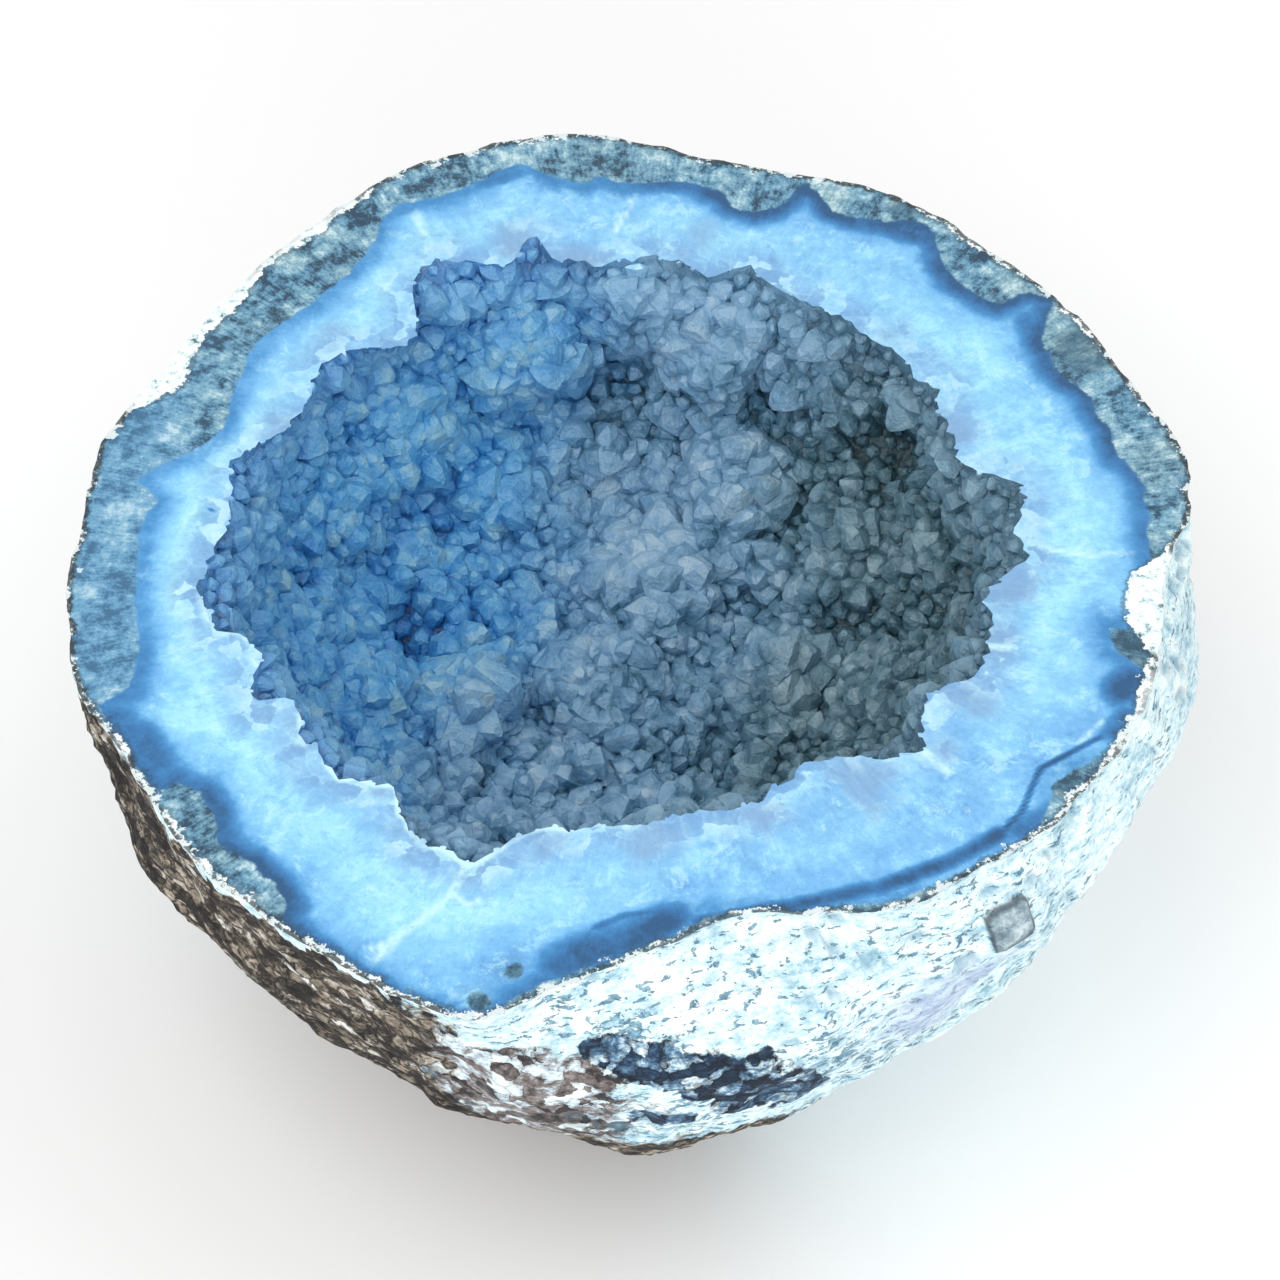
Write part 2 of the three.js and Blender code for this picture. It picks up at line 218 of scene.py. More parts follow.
def wave_hash(cell: np.ndarray, seed: int) -> np.ndarray:
    """Fixed random numbers from 0 to 1 for whole-number lattice cells.

    Args:
        cell: Lattice places, one row of three whole numbers each.
        seed: Which of the many fixed patterns to use.

    Returns:
        One number from 0 to 1 for each row.
    """
    mixed = cell.astype(np.int64) * np.array([73856093, 19349663, 83492791]) + seed * 2654435761
    mixed = np.bitwise_xor(np.bitwise_xor(mixed[..., 0], mixed[..., 1]), mixed[..., 2])
    mixed = (mixed ^ (mixed >> 13)) & 0xFFFFFFFF
    mixed = (mixed * 1274126177) & 0xFFFFFFFF
    mixed = (mixed ^ (mixed >> 16)) & 0xFFFFFF
    return mixed / float(0xFFFFFF)


def soft_noise(points: np.ndarray, seed: int) -> np.ndarray:
    """Smooth noise from -1 to 1 whose lumps are about one unit across.

    Args:
        points: Places, one row of three each.
        seed: Which pattern to use.

    Returns:
        One value for each place.
    """
    base = np.floor(points)
    share = points - base
    share = share * share * share * (share * (share * 6 - 15) + 10)
    total = np.zeros(len(points))
    for corner in np.ndindex(2, 2, 2):
        step = np.array(corner)
        weight = np.prod(np.where(step == 1, share, 1 - share), axis=1)
        total += weight * wave_hash(base + step, seed)
    return total * 2 - 1


def layered_noise(points: np.ndarray, size: float, octaves: int, seed: int) -> np.ndarray:
    """Several layers of soft noise, each half the size and strength of the one before.

    Args:
        points: Places in millimetres.
        size: Width of the largest lumps in millimetres.
        octaves: How many layers.
        seed: Which pattern to use.

    Returns:
        One value for each place, mostly from -1 to 1.
    """
    total = np.zeros(len(points))
    strength = 1.0
    for octave in range(octaves):
        total += strength * soft_noise(points / size * 2**octave, seed + octave)
        strength *= 0.5
    return total


def cell_distance(points: np.ndarray, seed: int) -> np.ndarray:
    """Distance to the nearest of a scatter of centres, one in each unit cell.

    Args:
        points: Places, one row of three each.
        seed: Which scatter to use.

    Returns:
        One distance for each place, from 0 at a centre to about 1 between centres.
    """
    base = np.floor(points)
    nearest = np.full(len(points), 9.0)
    for corner in np.ndindex(3, 3, 3):
        cell = base + np.array(corner) - 1
        centre = cell + np.stack([wave_hash(cell, seed + axis) for axis in range(3)], axis=1)
        nearest = np.minimum(nearest, np.linalg.norm(points - centre, axis=1))
    return nearest


def smoothstep(value: np.ndarray, low: float, high: float) -> np.ndarray:
    """Eased ramp from 0 at low to 1 at high."""
    share = np.clip((value - low) / (high - low), 0, 1)
    return share * share * (3 - 2 * share)


def blurred_ring(values: np.ndarray, sigma: float) -> np.ndarray:
    """Gaussian blur of values that run round a full turn on their first axis.

    Args:
        values: Values by bearing, and by anything else on further axes.
        sigma: Width of the blur in steps.

    Returns:
        The blurred values in the same layout.
    """
    steps = np.fft.fftfreq(len(values))
    gain = np.exp(-2 * (math.pi * steps * sigma) ** 2)
    gain = gain.reshape((-1,) + (1,) * (values.ndim - 1))
    return np.real(np.fft.ifft(np.fft.fft(values, axis=0) * gain, axis=0))


def radii_at(outline: np.ndarray, bearings: np.ndarray) -> np.ndarray:
    """Radius of a closed outline round the origin at each bearing, the nearest where it folds back.

    Args:
        outline: Corner points in millimetres, one row of two each.
        bearings: Bearings in radians.

    Returns:
        One radius for each bearing.
    """
    heading = np.stack([np.cos(bearings), np.sin(bearings)], axis=1)[:, None, :]
    start = outline[None, :, :]
    end = np.roll(outline, -1, axis=0)[None, :, :]
    side_start = heading[..., 0] * start[..., 1] - heading[..., 1] * start[..., 0]
    side_end = heading[..., 0] * end[..., 1] - heading[..., 1] * end[..., 0]
    spread = np.where(side_start == side_end, 1e-12, side_start - side_end)
    share = side_start / spread
    place = start + share[..., None] * (end - start)
    radius = (place * heading).sum(axis=2)
    valid = (share >= 0) & (share <= 1) & (radius > 0)
    return np.where(valid, radius, np.inf).min(axis=1)


def line_distance(places: np.ndarray, corners: np.ndarray, closed: bool) -> np.ndarray:
    """Distance in the plane from each place to a line of straight pieces.

    Args:
        places: Places in millimetres, one row of two each.
        corners: Corner points in millimetres.
        closed: Whether the last corner is joined to the first.

    Returns:
        One distance for each place.
    """
    nearest = np.full(len(places), np.inf)
    ends = np.roll(corners, -1, axis=0) if closed else corners[1:]
    for start, end in zip(corners, ends):
        along = end - start
        share = ((places - start) @ along) / max(float(along @ along), 1e-9)
        foot = start + np.clip(share, 0, 1)[:, None] * along
        nearest = np.minimum(nearest, np.linalg.norm(places - foot, axis=1))
    return nearest


@dataclass(frozen=True)
class PhotoView:
    """The photograph's camera. Lengths are in millimetres, the focal length in frame pixels."""

    elevation_deg: float = 50.0
    distance: float = 330.0
    target_height: float = 31.0
    focal_px: float = 4420.0
    frame_px: float = 1280.0
    sensor_mm: float = 36.0

    @property
    def forward(self) -> np.ndarray:
        """Direction in which the camera looks."""
        tilt = math.radians(self.elevation_deg)
        return np.array([0.0, math.cos(tilt), -math.sin(tilt)])

    @property
    def up(self) -> np.ndarray:
        """Direction that is up in the picture."""
        tilt = math.radians(self.elevation_deg)
        return np.array([0.0, math.sin(tilt), math.cos(tilt)])

    @property
    def eye(self) -> np.ndarray:
        """Place of the camera."""
        return np.array([0.0, 0.0, self.target_height]) - self.forward * self.distance

    def rays(self, pixels: list[tuple[float, float]]) -> np.ndarray:
        """Directions from the camera through given pixels, not scaled to one length."""
        offset = (np.array(pixels, float) - self.frame_px / 2) / self.focal_px
        return self.forward + offset[:, :1] * np.array([1.0, 0.0, 0.0]) - offset[:, 1:] * self.up

    def on_saw_cut(self, pixels: list[tuple[float, float]], height: float) -> np.ndarray:
        """Places on the saw cut that show at given pixels.

        Args:
            pixels: Columns and rows in the photograph's frame.
            height: Height of the saw cut in millimetres.

        Returns:
            One row of x and y in millimetres for each pixel.
        """
        rays = self.rays(pixels)
        reach = (height - self.eye[2]) / rays[:, 2]
        return (self.eye + rays * reach[:, None])[:, :2]


class CadSurface:
    """One solid of the frame, measured by rays. All lengths are in millimetres."""

    def __init__(self, node: str) -> None:
        """Reads a solid's triangles.

        Args:
            node: Name of the solid in the frame.
        """
        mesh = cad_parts[node].data
        corners = [vertex.co / MM for vertex in mesh.vertices]
        faces = [tuple(face.vertices) for face in mesh.polygons]
        self.tree = BVHTree.FromPolygons(corners, faces)

    def inward(self, focus: np.ndarray, headings: np.ndarray, reach: float = 120.0) -> np.ndarray:
        """Distance from a focus to the outermost skin, along each heading.

        Args:
            focus: Where the rays meet.
            headings: Unit directions away from the focus, one row each.
            reach: How far out the rays start.

        Returns:
            One distance from the focus for each heading.
        """
        found = np.zeros(len(headings))
        for index, heading in enumerate(headings):
            start = Vector(focus + heading * reach)
            gap = self.tree.ray_cast(start, Vector(-heading))[3]
            found[index] = reach - gap if gap is not None else np.nan
        return found

    def hit(self, start: np.ndarray, heading: np.ndarray) -> np.ndarray:
        """Place where a ray first meets the skin."""
        return np.array(self.tree.ray_cast(Vector(start), Vector(heading).normalized())[0])

    def outward(self, focus: np.ndarray, headings: np.ndarray) -> np.ndarray:
        """Distance from a focus to the first skin that each heading meets."""
        hits = [self.tree.ray_cast(Vector(focus), Vector(heading))[3] for heading in headings]
        return np.array([np.nan if hit is None else hit for hit in hits])


def headings_at(bearings: np.ndarray, fall: float) -> np.ndarray:
    """Unit directions that fall below the level by an angle, one for each bearing."""
    level = math.cos(fall)
    drop = np.full(len(bearings), -math.sin(fall))
    return np.stack([np.cos(bearings) * level, np.sin(bearings) * level, drop], axis=1)


@dataclass
class SawCut:
    """The flat cut through the stone and the layers that show on it, in millimetres."""

    height: float
    rim: np.ndarray
    crystal_edge: np.ndarray
    grey_edge: np.ndarray
    view: PhotoView

    def spotted(self, places: np.ndarray, spots: list[Spot]) -> np.ndarray:
        """How far inside the nearest spot's edge each place lies, less than nothing outside."""
        middles = self.view.on_saw_cut([(spot.column, spot.row) for spot in spots], self.height)
        inside = [spot.radius - np.linalg.norm(places - middle, axis=1)
                  for spot, middle in zip(spots, middles)]
        return np.max(inside, axis=0)

    def streaked(self, places: np.ndarray, streaks: list[Streak]) -> np.ndarray:
        """How strongly each place is on a streak, from 0 to 1."""
        strength = np.zeros(len(places))
        for streak in streaks:
            corners = self.view.on_saw_cut(list(streak.corners), self.height)
            gap = line_distance(places, corners, False) / streak.width
            strength = np.maximum(strength, (1 - smoothstep(gap, 0.1, 1.5)) * streak.strength)
        return strength

    def attributes(self, places: np.ndarray) -> dict[str, np.ndarray]:
        """Layer measures that the cut's finish reads.

        Args:
            places: Places on the cut in millimetres, one row of two each.

        Returns:
            Attribute names and one value for each place, in millimetres or from 0 to 1.
        """
        bearing = np.arctan2(places[:, 1], places[:, 0])
        degrees = np.degrees(bearing) % 360
        radius = np.linalg.norm(places, axis=1)
        layer = line_distance(places, self.grey_edge, True)
        layer = np.where(radius > radii_at(self.grey_edge, bearing), layer, -layer)
        widths = np.array(RIND_ON_CUT)
        strip = np.interp(degrees, widths[:, 0], widths[:, 1], period=360)
        strengths = np.array(BLUE_BY_BEARING)
        blue = np.interp(degrees, strengths[:, 0], strengths[:, 1], period=360)
        blue = blue * smoothstep(layer, -2.9, -0.1)
        dimness = np.array(DIM_BY_BEARING)
        from_rim = line_distance(places, self.rim, True)
        spots = self.spotted(places, GREY_SPOTS)
        return {
            "from_rim": from_rim,
            "from_crystals": line_distance(places, self.crystal_edge, True),
            "grey_depth": np.maximum(layer, spots),
            "dark_spot": smoothstep(spots, -0.4, 0.4),
            "rind_depth": strip - from_rim,
            "blue_line": np.maximum(blue, self.streaked(places, BLUE_STREAKS)),
            "bright_line": self.streaked(places, BRIGHT_STREAKS),
            "violet_depth": self.spotted(places, VIOLET_SPOTS),
            "dim": np.interp(degrees, dimness[:, 0], dimness[:, 1], period=360),
            # Bearings where a painted highlight runs along the hollow's edge.
            "lip_side": smoothstep(degrees, 175, 200) * (1 - smoothstep(degrees, 255, 275)),
        }


def store_attributes(mesh: bpy.types.Mesh, values: dict[str, np.ndarray]) -> None:
    """Writes numbers on a mesh's vertices for its finish to read.

    Args:
        mesh: The mesh that takes them.
        values: Attribute names and one number for each vertex.
    """
    for name, numbers in values.items():
        layer = mesh.attributes.new(name, "FLOAT", "POINT")
        layer.data.foreach_set("value", numbers.astype(np.float32))


def mesh_from_rings(name: str, rings: np.ndarray, first: np.ndarray, last: np.ndarray) -> bpy.types.Mesh:
    """Closed mesh from rings of points, with a pole at each end.

    Args:
        name: Name of the mesh.
        rings: Points in millimetres, by ring, by bearing.
        first: Pole before the first ring.
        last: Pole after the last ring.

    Returns:
        The mesh, in metres.
    """
    count, around = rings.shape[:2]
    points = np.vstack([rings.reshape(-1, 3), first[None], last[None]]) * MM
    ring, turn = np.meshgrid(np.arange(count - 1), np.arange(around), indexing="ij")
    after = (turn + 1) % around
    quads = np.stack(
        [
            ring * around + turn, ring * around + after,
            (ring + 1) * around + after, (ring + 1) * around + turn,
        ],
        axis=-1,
    ).reshape(-1, 4)
    turn = np.arange(around)
    after = (turn + 1) % around
    low = np.stack([np.full(around, count * around), after, turn], axis=1)
    top = (count - 1) * around
    high = np.stack([np.full(around, count * around + 1), top + turn, top + after], axis=1)
    mesh = bpy.data.meshes.new(name)
    mesh.from_pydata(points.tolist(), [], quads.tolist() + low.tolist() + high.tolist())
    mesh.update()
    return mesh


def new_object(name: str, mesh: bpy.types.Mesh) -> bpy.types.Object:
    """Object at the origin that shows a mesh."""
    shown = bpy.data.objects.new(name, mesh)
    bpy.context.scene.collection.objects.link(shown)
    return shown


def evaluated_mesh(shown: bpy.types.Object, name: str) -> bpy.types.Mesh:
    """Plain mesh of an object with its modifiers applied."""
    graph = bpy.context.evaluated_depsgraph_get()
    mesh = bpy.data.meshes.new_from_object(shown.evaluated_get(graph), depsgraph=graph)
    mesh.name = name
    return mesh


def discard(shown: bpy.types.Object) -> None:
    """Removes a helper object and its mesh."""
    mesh = shown.data
    bpy.data.objects.remove(shown)
    bpy.data.meshes.remove(mesh)


def combined(base: bpy.types.Mesh, other: bpy.types.Mesh, operation: str) -> bpy.types.Mesh:
    """Joins, cuts or clips one closed mesh by another.

    Args:
        base: The mesh that is changed. It is used up.
        other: The mesh that joins, cuts or clips it. It is used up.
        operation: UNION, DIFFERENCE or INTERSECT.

    Returns:
        The new mesh.
    """
    shown = new_object("base", base)
    helper = new_object("other", other)
    change = shown.modifiers.new("change", "BOOLEAN")
    change.operation = operation
    change.solver = "MANIFOLD"
    change.object = helper
    result = evaluated_mesh(shown, base.name)
    discard(shown)
    discard(helper)
    return result


class NodeBench:
    """Short ways to place and wire the nodes of one material."""

    def __init__(self, name: str) -> None:
        """Starts an empty material.

        Args:
            name: Name of the material.
        """
        self.material = bpy.data.materials.new(name)
        self.material.use_nodes = True
        self.tree = self.material.node_tree
        self.tree.nodes.clear()

    def node(self, kind: str, inputs: dict[str, object] | None = None, **settings: object) -> bpy.types.Node:
        """Adds a node.

        Args:
            kind: Blender's name for the node type.
            inputs: Socket names or numbers, each with a value or an output to link.
            settings: Properties of the node itself.

        Returns:
            The new node.
        """
        made = self.tree.nodes.new(kind)
        for name, value in settings.items():
            setattr(made, name, value)
        for name, value in (inputs or {}).items():
            self.feed(made.inputs[name], value)
        return made

    def feed(self, socket: bpy.types.NodeSocket, value: object) -> None:
        """Links an output to a socket, or sets the socket's own value."""
        if isinstance(value, bpy.types.NodeSocket):
            self.tree.links.new(value, socket)
        else:
            socket.default_value = value

    def attribute(self, name: str) -> bpy.types.NodeSocket:
        """A number stored on the vertices."""
        return self.node("ShaderNodeAttribute", attribute_name=name).outputs["Fac"]

    def place(self) -> bpy.types.NodeSocket:
        """Object coordinates in metres."""
        return self.node("ShaderNodeTexCoord").outputs["Object"]

    def stretched(self, scale: tuple[float, float, float]) -> bpy.types.NodeSocket:
        """Object coordinates times a scale."""
        return self.node("ShaderNodeMapping", {"Vector": self.place(), "Scale": scale}).outputs[0]

    def math(self, operation: str, first: object, second: object = 0.0,
             clamp: bool = False) -> bpy.types.NodeSocket:
        """A sum on one or two numbers."""
        made = self.node("ShaderNodeMath", {0: first, 1: second}, operation=operation, use_clamp=clamp)
        return made.outputs[0]

    def ramp_between(self, value: object, low: float, high: float) -> bpy.types.NodeSocket:
        """Eased ramp from 0 where value is low to 1 where it is high."""
        made = self.node(
            "ShaderNodeMapRange",
            {"Value": value, "From Min": low, "From Max": high, "To Min": 0.0, "To Max": 1.0},
            interpolation_type="SMOOTHSTEP",
        )
        return made.outputs["Result"]

    def noise(self, vector: object, scale: float, detail: float = 3.0, roughness: float = 0.55,
              distortion: float = 0.0) -> bpy.types.NodeSocket:
        """Noise from 0 to 1."""
        inputs = {"Vector": vector, "Scale": scale, "Detail": detail, "Roughness": roughness,
                  "Distortion": distortion}
        return self.node("ShaderNodeTexNoise", inputs).outputs[0]

    def spread(self, value: object, amount: float) -> bpy.types.NodeSocket:
        """A number from 0 to 1 moved to lie evenly round nothing, times an amount."""
        return self.math("MULTIPLY", self.math("SUBTRACT", value, 0.5), amount)

    def cells(self, vector: object, scale: float, feature: str = "F1") -> bpy.types.Node:
        """A Voronoi texture node."""
        return self.node("ShaderNodeTexVoronoi", {"Vector": vector, "Scale": scale}, feature=feature)

    def mix(self, share: object, first: object, second: object, blend: str = "MIX") -> bpy.types.NodeSocket:
        """A mix of two colours."""
        made = self.node("ShaderNodeMix", data_type="RGBA", blend_type=blend)
        self.feed(made.inputs[0], share)
        self.feed(made.inputs[6], first)
        self.feed(made.inputs[7], second)
        return made.outputs[2]

    def ramp(self, value: object, stops: list[tuple[float, tuple[int, int, int]]]) -> bpy.types.NodeSocket:
        """Colours along a number from 0 to 1.

        Args:
            value: The number.
            stops: Places from 0 to 1, each with a colour as the eye sees it, from 0 to 255.

        Returns:
            The colour output.
        """
        made = self.node("ShaderNodeValToRGB", {"Fac": value})
        band = made.color_ramp
        while len(band.elements) < len(stops):
            band.elements.new(0.5)
        for element, (place, colour) in zip(band.elements, stops):
            element.position = place
            element.color = seen(colour)
        return made.outputs[0]

    def bump(self, height: object, strength: float, distance: float) -> bpy.types.NodeSocket:
        """Surface normal bent by a height pattern."""
        made = self.node("ShaderNodeBump", {"Height": height, "Strength": strength, "Distance": distance})
        return made.outputs[0]

    def finish(self, shader: bpy.types.Node, volume: bpy.types.Node | None = None) -> bpy.types.Material:
        """Ends the material in a shader, and a volume where it has one."""
        end = self.node("ShaderNodeOutputMaterial")
        self.tree.links.new(shader.outputs[0], end.inputs["Surface"])
        if volume is not None:
            self.tree.links.new(volume.outputs[0], end.inputs["Volume"])
        return self.material


def seen(colour: tuple[float, float, float]) -> tuple[float, float, float, float]:
    """A colour as the eye sees it, from 0 to 255, in Blender's linear numbers."""
    parts = np.array(colour, float) / 255
    linear = np.where(parts <= 0.04045, parts / 12.92, ((parts + 0.055) / 1.055) ** 2.4)
    return (float(linear[0]), float(linear[1]), float(linear[2]), 1.0)


@dataclass(frozen=True)
class CutFinish:
    """Sawn and half-polished chalcedony: white rind, grey-green layer, blue line, pale bands."""

    roughness: float = 0.36

    def fibres(self, bench: NodeBench, turns: float, along: float) -> bpy.types.NodeSocket:
        """Fine fibres that run from the middle of the stone outward.

        Args:
            bench: The material's bench.
            turns: How fine the fibres are across.
            along: How fast they change along their length.

        Returns:
            Noise from 0 to 1.
        """
        parts = bench.node("ShaderNodeSeparateXYZ", {0: bench.place()})
        flat = bench.node("ShaderNodeCombineXYZ", {0: parts.outputs[0], 1: parts.outputs[1]})
        ring = bench.node("ShaderNodeVectorMath", {0: flat.outputs[0]}, operation="NORMALIZE")
        reach = bench.node("ShaderNodeVectorMath", {0: flat.outputs[0]}, operation="LENGTH")
        compass = bench.node("ShaderNodeSeparateXYZ", {0: ring.outputs[0]})
        polar = bench.node("ShaderNodeCombineXYZ", {
            0: compass.outputs[0], 1: compass.outputs[1],
            2: bench.math("MULTIPLY", reach.outputs["Value"], along),
        })
        return bench.noise(polar.outputs[0], turns, 4.0, 0.65, 0.1)

    def rind_specks(self, bench: NodeBench) -> bpy.types.NodeSocket:
        """White rind with grey-green and dark grains."""
        grain = bench.noise(bench.place(), 1100.0, 4.0, 0.7)
        return bench.ramp(grain, [
            (0.3, (46, 60, 66)), (0.36, (118, 150, 158)), (0.42, (206, 232, 236)), (0.5, (248, 254, 254)),
        ])

    def grey_layer(self, bench: NodeBench, fine: bpy.types.NodeSocket) -> bpy.types.NodeSocket:
        """Grey-green outer layer, mottled and finely fibrous."""
        place = bench.place()
        mottle = bench.noise(place, 560.0, 7.0, 0.8)
        clumps = bench.noise(place, 300.0, 4.0, 0.6, 0.7)
        value = bench.math("ADD", bench.spread(mottle, 1.5), bench.spread(fine, 0.45))
        value = bench.math("ADD", value, bench.math("ADD", bench.spread(clumps, 0.8), 0.515))
        bluish = bench.ramp(value, [
            (0.34, (34, 68, 92)), (0.43, (74, 122, 150)), (0.5, (98, 150, 180)),
            (0.57, (120, 168, 192)), (0.66, (152, 192, 206)), (0.78, (204, 230, 236)),
        ])
        greenish = bench.ramp(value, [
            (0.36, (48, 74, 86)), (0.5, (102, 140, 156)), (0.64, (142, 174, 180)), (0.78, (198, 222, 222)),
        ])
        parts = bench.node("ShaderNodeSeparateXYZ", {0: place})
        left = bench.ramp_between(parts.outputs[0], -0.031, -0.037)
        share = bench.ramp_between(bench.noise(place, 150.0, 2.0), 0.42, 0.66)
        share = bench.math("MULTIPLY", share, bench.math("MULTIPLY_ADD", left, -0.7))
        share.node.inputs[2].default_value = 0.8
        colour = bench.mix(share, bluish, greenish)
        colour = bench.mix(bench.math("MULTIPLY", left, 0.3), colour, seen((92, 162, 214)))
        dark = bench.math("MULTIPLY", bench.attribute("dark_spot"), 0.6)
        return bench.mix(dark, colour, seen((44, 84, 104)))

    def sawn_crystals(self, bench: NodeBench, bands: bpy.types.NodeSocket) -> bpy.types.NodeSocket:
        """Adds the sawn-through feet of the crystals: blocky patches with soft pale outlines."""
        place = bench.place()
        jitter = bench.node("ShaderNodeTexNoise", {"Vector": place, "Scale": 520.0, "Detail": 4.0})
        push = bench.node("ShaderNodeVectorMath", {0: jitter.outputs["Color"], 1: (0.5, 0.5, 0.5)},
                          operation="SUBTRACT")
        shift = bench.node("ShaderNodeVectorMath", {0: push.outputs[0], "Scale": 0.0028}, operation="SCALE")
        moved = bench.node("ShaderNodeVectorMath", {0: shift.outputs[0], 1: place}, operation="ADD")
        moved = moved.outputs[0]
        each = bench.node("ShaderNodeSeparateColor", {0: bench.cells(moved, 520.0).outputs["Color"]})
        gap = bench.cells(moved, 520.0, "DISTANCE_TO_EDGE").outputs["Distance"]
        uneven = bench.spread(bench.noise(place, 260.0, 4.0, 0.7), 5.0)
        near = bench.ramp_between(bench.math("ADD", bench.attribute("from_crystals"), uneven), 3.6, 0.6)
        cloud = bench.spread(bench.noise(place, 700.0, 5.0, 0.74), 1.6)
        patch = bench.ramp(bench.math("ADD", each.outputs[0], cloud), [
            (0.1, (112, 156, 204)), (0.45, (142, 194, 236)), (0.7, (166, 224, 250)), (0.95, (208, 246, 254)),
        ])
        bands = bench.mix(bench.math("MULTIPLY", near, 0.6), bands, patch)
        outline = bench.math("MULTIPLY", bench.ramp_between(gap, 0.1, 0.0), near)
        return bench.mix(bench.math("MULTIPLY", outline, 0.2), bands, seen((192, 238, 252)))

    def pale_bands(self, bench: NodeBench, coarse: bpy.types.NodeSocket,
                   fine: bpy.types.NodeSocket) -> bpy.types.NodeSocket:
        """Blue to near-white bands between the grey layer and the crystals, with pale veins and a painted
        highlight along the hollow's edge.
        """
        place = bench.place()
        from_grey = bench.math("MULTIPLY", bench.attribute("grey_depth"), -1.0)
        from_crystals = bench.attribute("from_crystals")
        whole = bench.math("ADD", from_grey, from_crystals)
        share = bench.math("DIVIDE", from_crystals, bench.math("MAXIMUM", whole, 0.2))
        drift = bench.spread(bench.noise(place, 250.0, 7.0, 0.78), 1.1)
        streak = bench.math("ADD", bench.spread(coarse, 0.22), bench.spread(fine, 0.16))
        share = bench.math("ADD", share, bench.math("ADD", drift, streak))
        bands = bench.ramp(share, [
            (0.0, (130, 182, 224)), (0.14, (140, 196, 238)), (0.3, (152, 216, 248)),
            (0.44, (176, 240, 253)), (0.56, (156, 224, 252)), (0.72, (134, 204, 248)),
            (0.86, (106, 176, 230)), (1.0, (82, 146, 200)),
        ])
        dimmer = bench.math("MULTIPLY", bench.ramp_between(bench.noise(place, 80.0, 4.0), 0.4, 0.66), 0.35)
        dimmer = bench.math("ADD", dimmer, bench.math("MULTIPLY", bench.attribute("dim"), 0.75), True)
        blotch = bench.math("ADD", bench.noise(place, 330.0, 7.0, 0.78), bench.spread(coarse, 0.25))
        quiet = bench.ramp(blotch, [
            (0.34, (94, 156, 216)), (0.46, (118, 184, 238)), (0.56, (138, 204, 248)), (0.68, (170, 232, 252)),
        ])
        bands = bench.mix(dimmer, bands, quiet)
        blotch = bench.math("ADD", bench.noise(place, 460.0, 6.0, 0.76, 0.5), bench.spread(fine, 0.16))
        dull = bench.math("MULTIPLY", bench.ramp_between(blotch, 0.5, 0.38), 0.45)
        bands = bench.mix(dull, bands, seen((116, 180, 232)))
        pale = bench.math("MULTIPLY", bench.ramp_between(blotch, 0.52, 0.64), 0.5)
        bands = bench.mix(pale, bands, seen((196, 246, 254)))
        bands = self.sawn_crystals(bench, bands)
        near = bench.math("MULTIPLY", bench.ramp_between(from_crystals, 3.4, 0.4), 0.9)
        patch_noise = bench.spread(bench.noise(place, 330.0, 7.0, 0.76), 9.0)
        patch = bench.math("ADD", bench.attribute("violet_depth"), bench.math("ADD", patch_noise, near))
        patch = bench.math("MULTIPLY", bench.ramp_between(patch, 0.0, 3.0), 0.9)
        bands = bench.mix(patch, bands, bench.mix(coarse, seen((112, 150, 196)), seen((146, 190, 228))))
        # Painted highlight: a near-white line along the hollow's edge on the front-left of the cut.
        lip_highlight_noise = bench.ramp_between(bench.noise(place, 240.0, 3.0), 0.4, 0.56)
        lip_highlight = bench.math("MULTIPLY", bench.ramp_between(from_crystals, 0.55, 0.15), lip_highlight_noise)
        lip_highlight = bench.math("MULTIPLY", lip_highlight, bench.attribute("lip_side"))
        broken = bench.ramp_between(bench.noise(place, 520.0, 4.0, 0.7), 0.3, 0.52)
        veins = bench.math("MULTIPLY", bench.attribute("bright_line"), broken)
        glints = bench.math("MAXIMUM", veins, lip_highlight)
        return bench.mix(bench.math("MULTIPLY", glints, 0.85), bands, seen((208, 250, 254)))

    def edge_of_rind(self, bench: NodeBench, colour: bpy.types.NodeSocket) -> bpy.types.NodeSocket:
        """Adds the white rind with painted shadow at its inner edge, its chips, and a thin line of painted
        shade along the rim.
        """
        place = bench.place()
        ragged = bench.spread(bench.noise(place, 640.0, 5.0, 0.74), 2.6)
        depth = bench.math("ADD", bench.attribute("rind_depth"), ragged)
        shadow = bench.math("MULTIPLY", bench.ramp_between(depth, -0.5, -0.1), 0.55)
        colour = bench.mix(shadow, colour, seen((40, 70, 88)))
        colour = bench.mix(bench.ramp_between(depth, 0.0, 0.12), colour, self.rind_specks(bench))
        from_rim = bench.attribute("from_rim")
        strip = bench.math("ADD", bench.attribute("rind_depth"), from_rim)
        grain = bench.spread(bench.noise(place, 1050.0, 5.0, 0.8), 2.4)
        # Thin line of painted shade along the rim: near black, and teal where the rind is flecked.
        dark = bench.ramp_between(bench.math("ADD", from_rim, grain), 0.42, 0.2)
        dark = bench.math("MULTIPLY", dark, bench.ramp_between(strip, 1.1, 0.5))
        line = bench.mix(bench.attribute("flecked"), seen((38, 50, 54)), seen((52, 102, 124)))
        colour = bench.mix(bench.math("MULTIPLY", dark, 0.9), colour, line)
        chips = bench.spread(bench.noise(place, 760.0, 4.0, 0.7), 6.0)
        white = bench.ramp_between(bench.math("SUBTRACT", chips, from_rim), -0.05, 0.15)
        return bench.mix(bench.math("MULTIPLY", white, 0.85), colour, seen((232, 244, 246)))

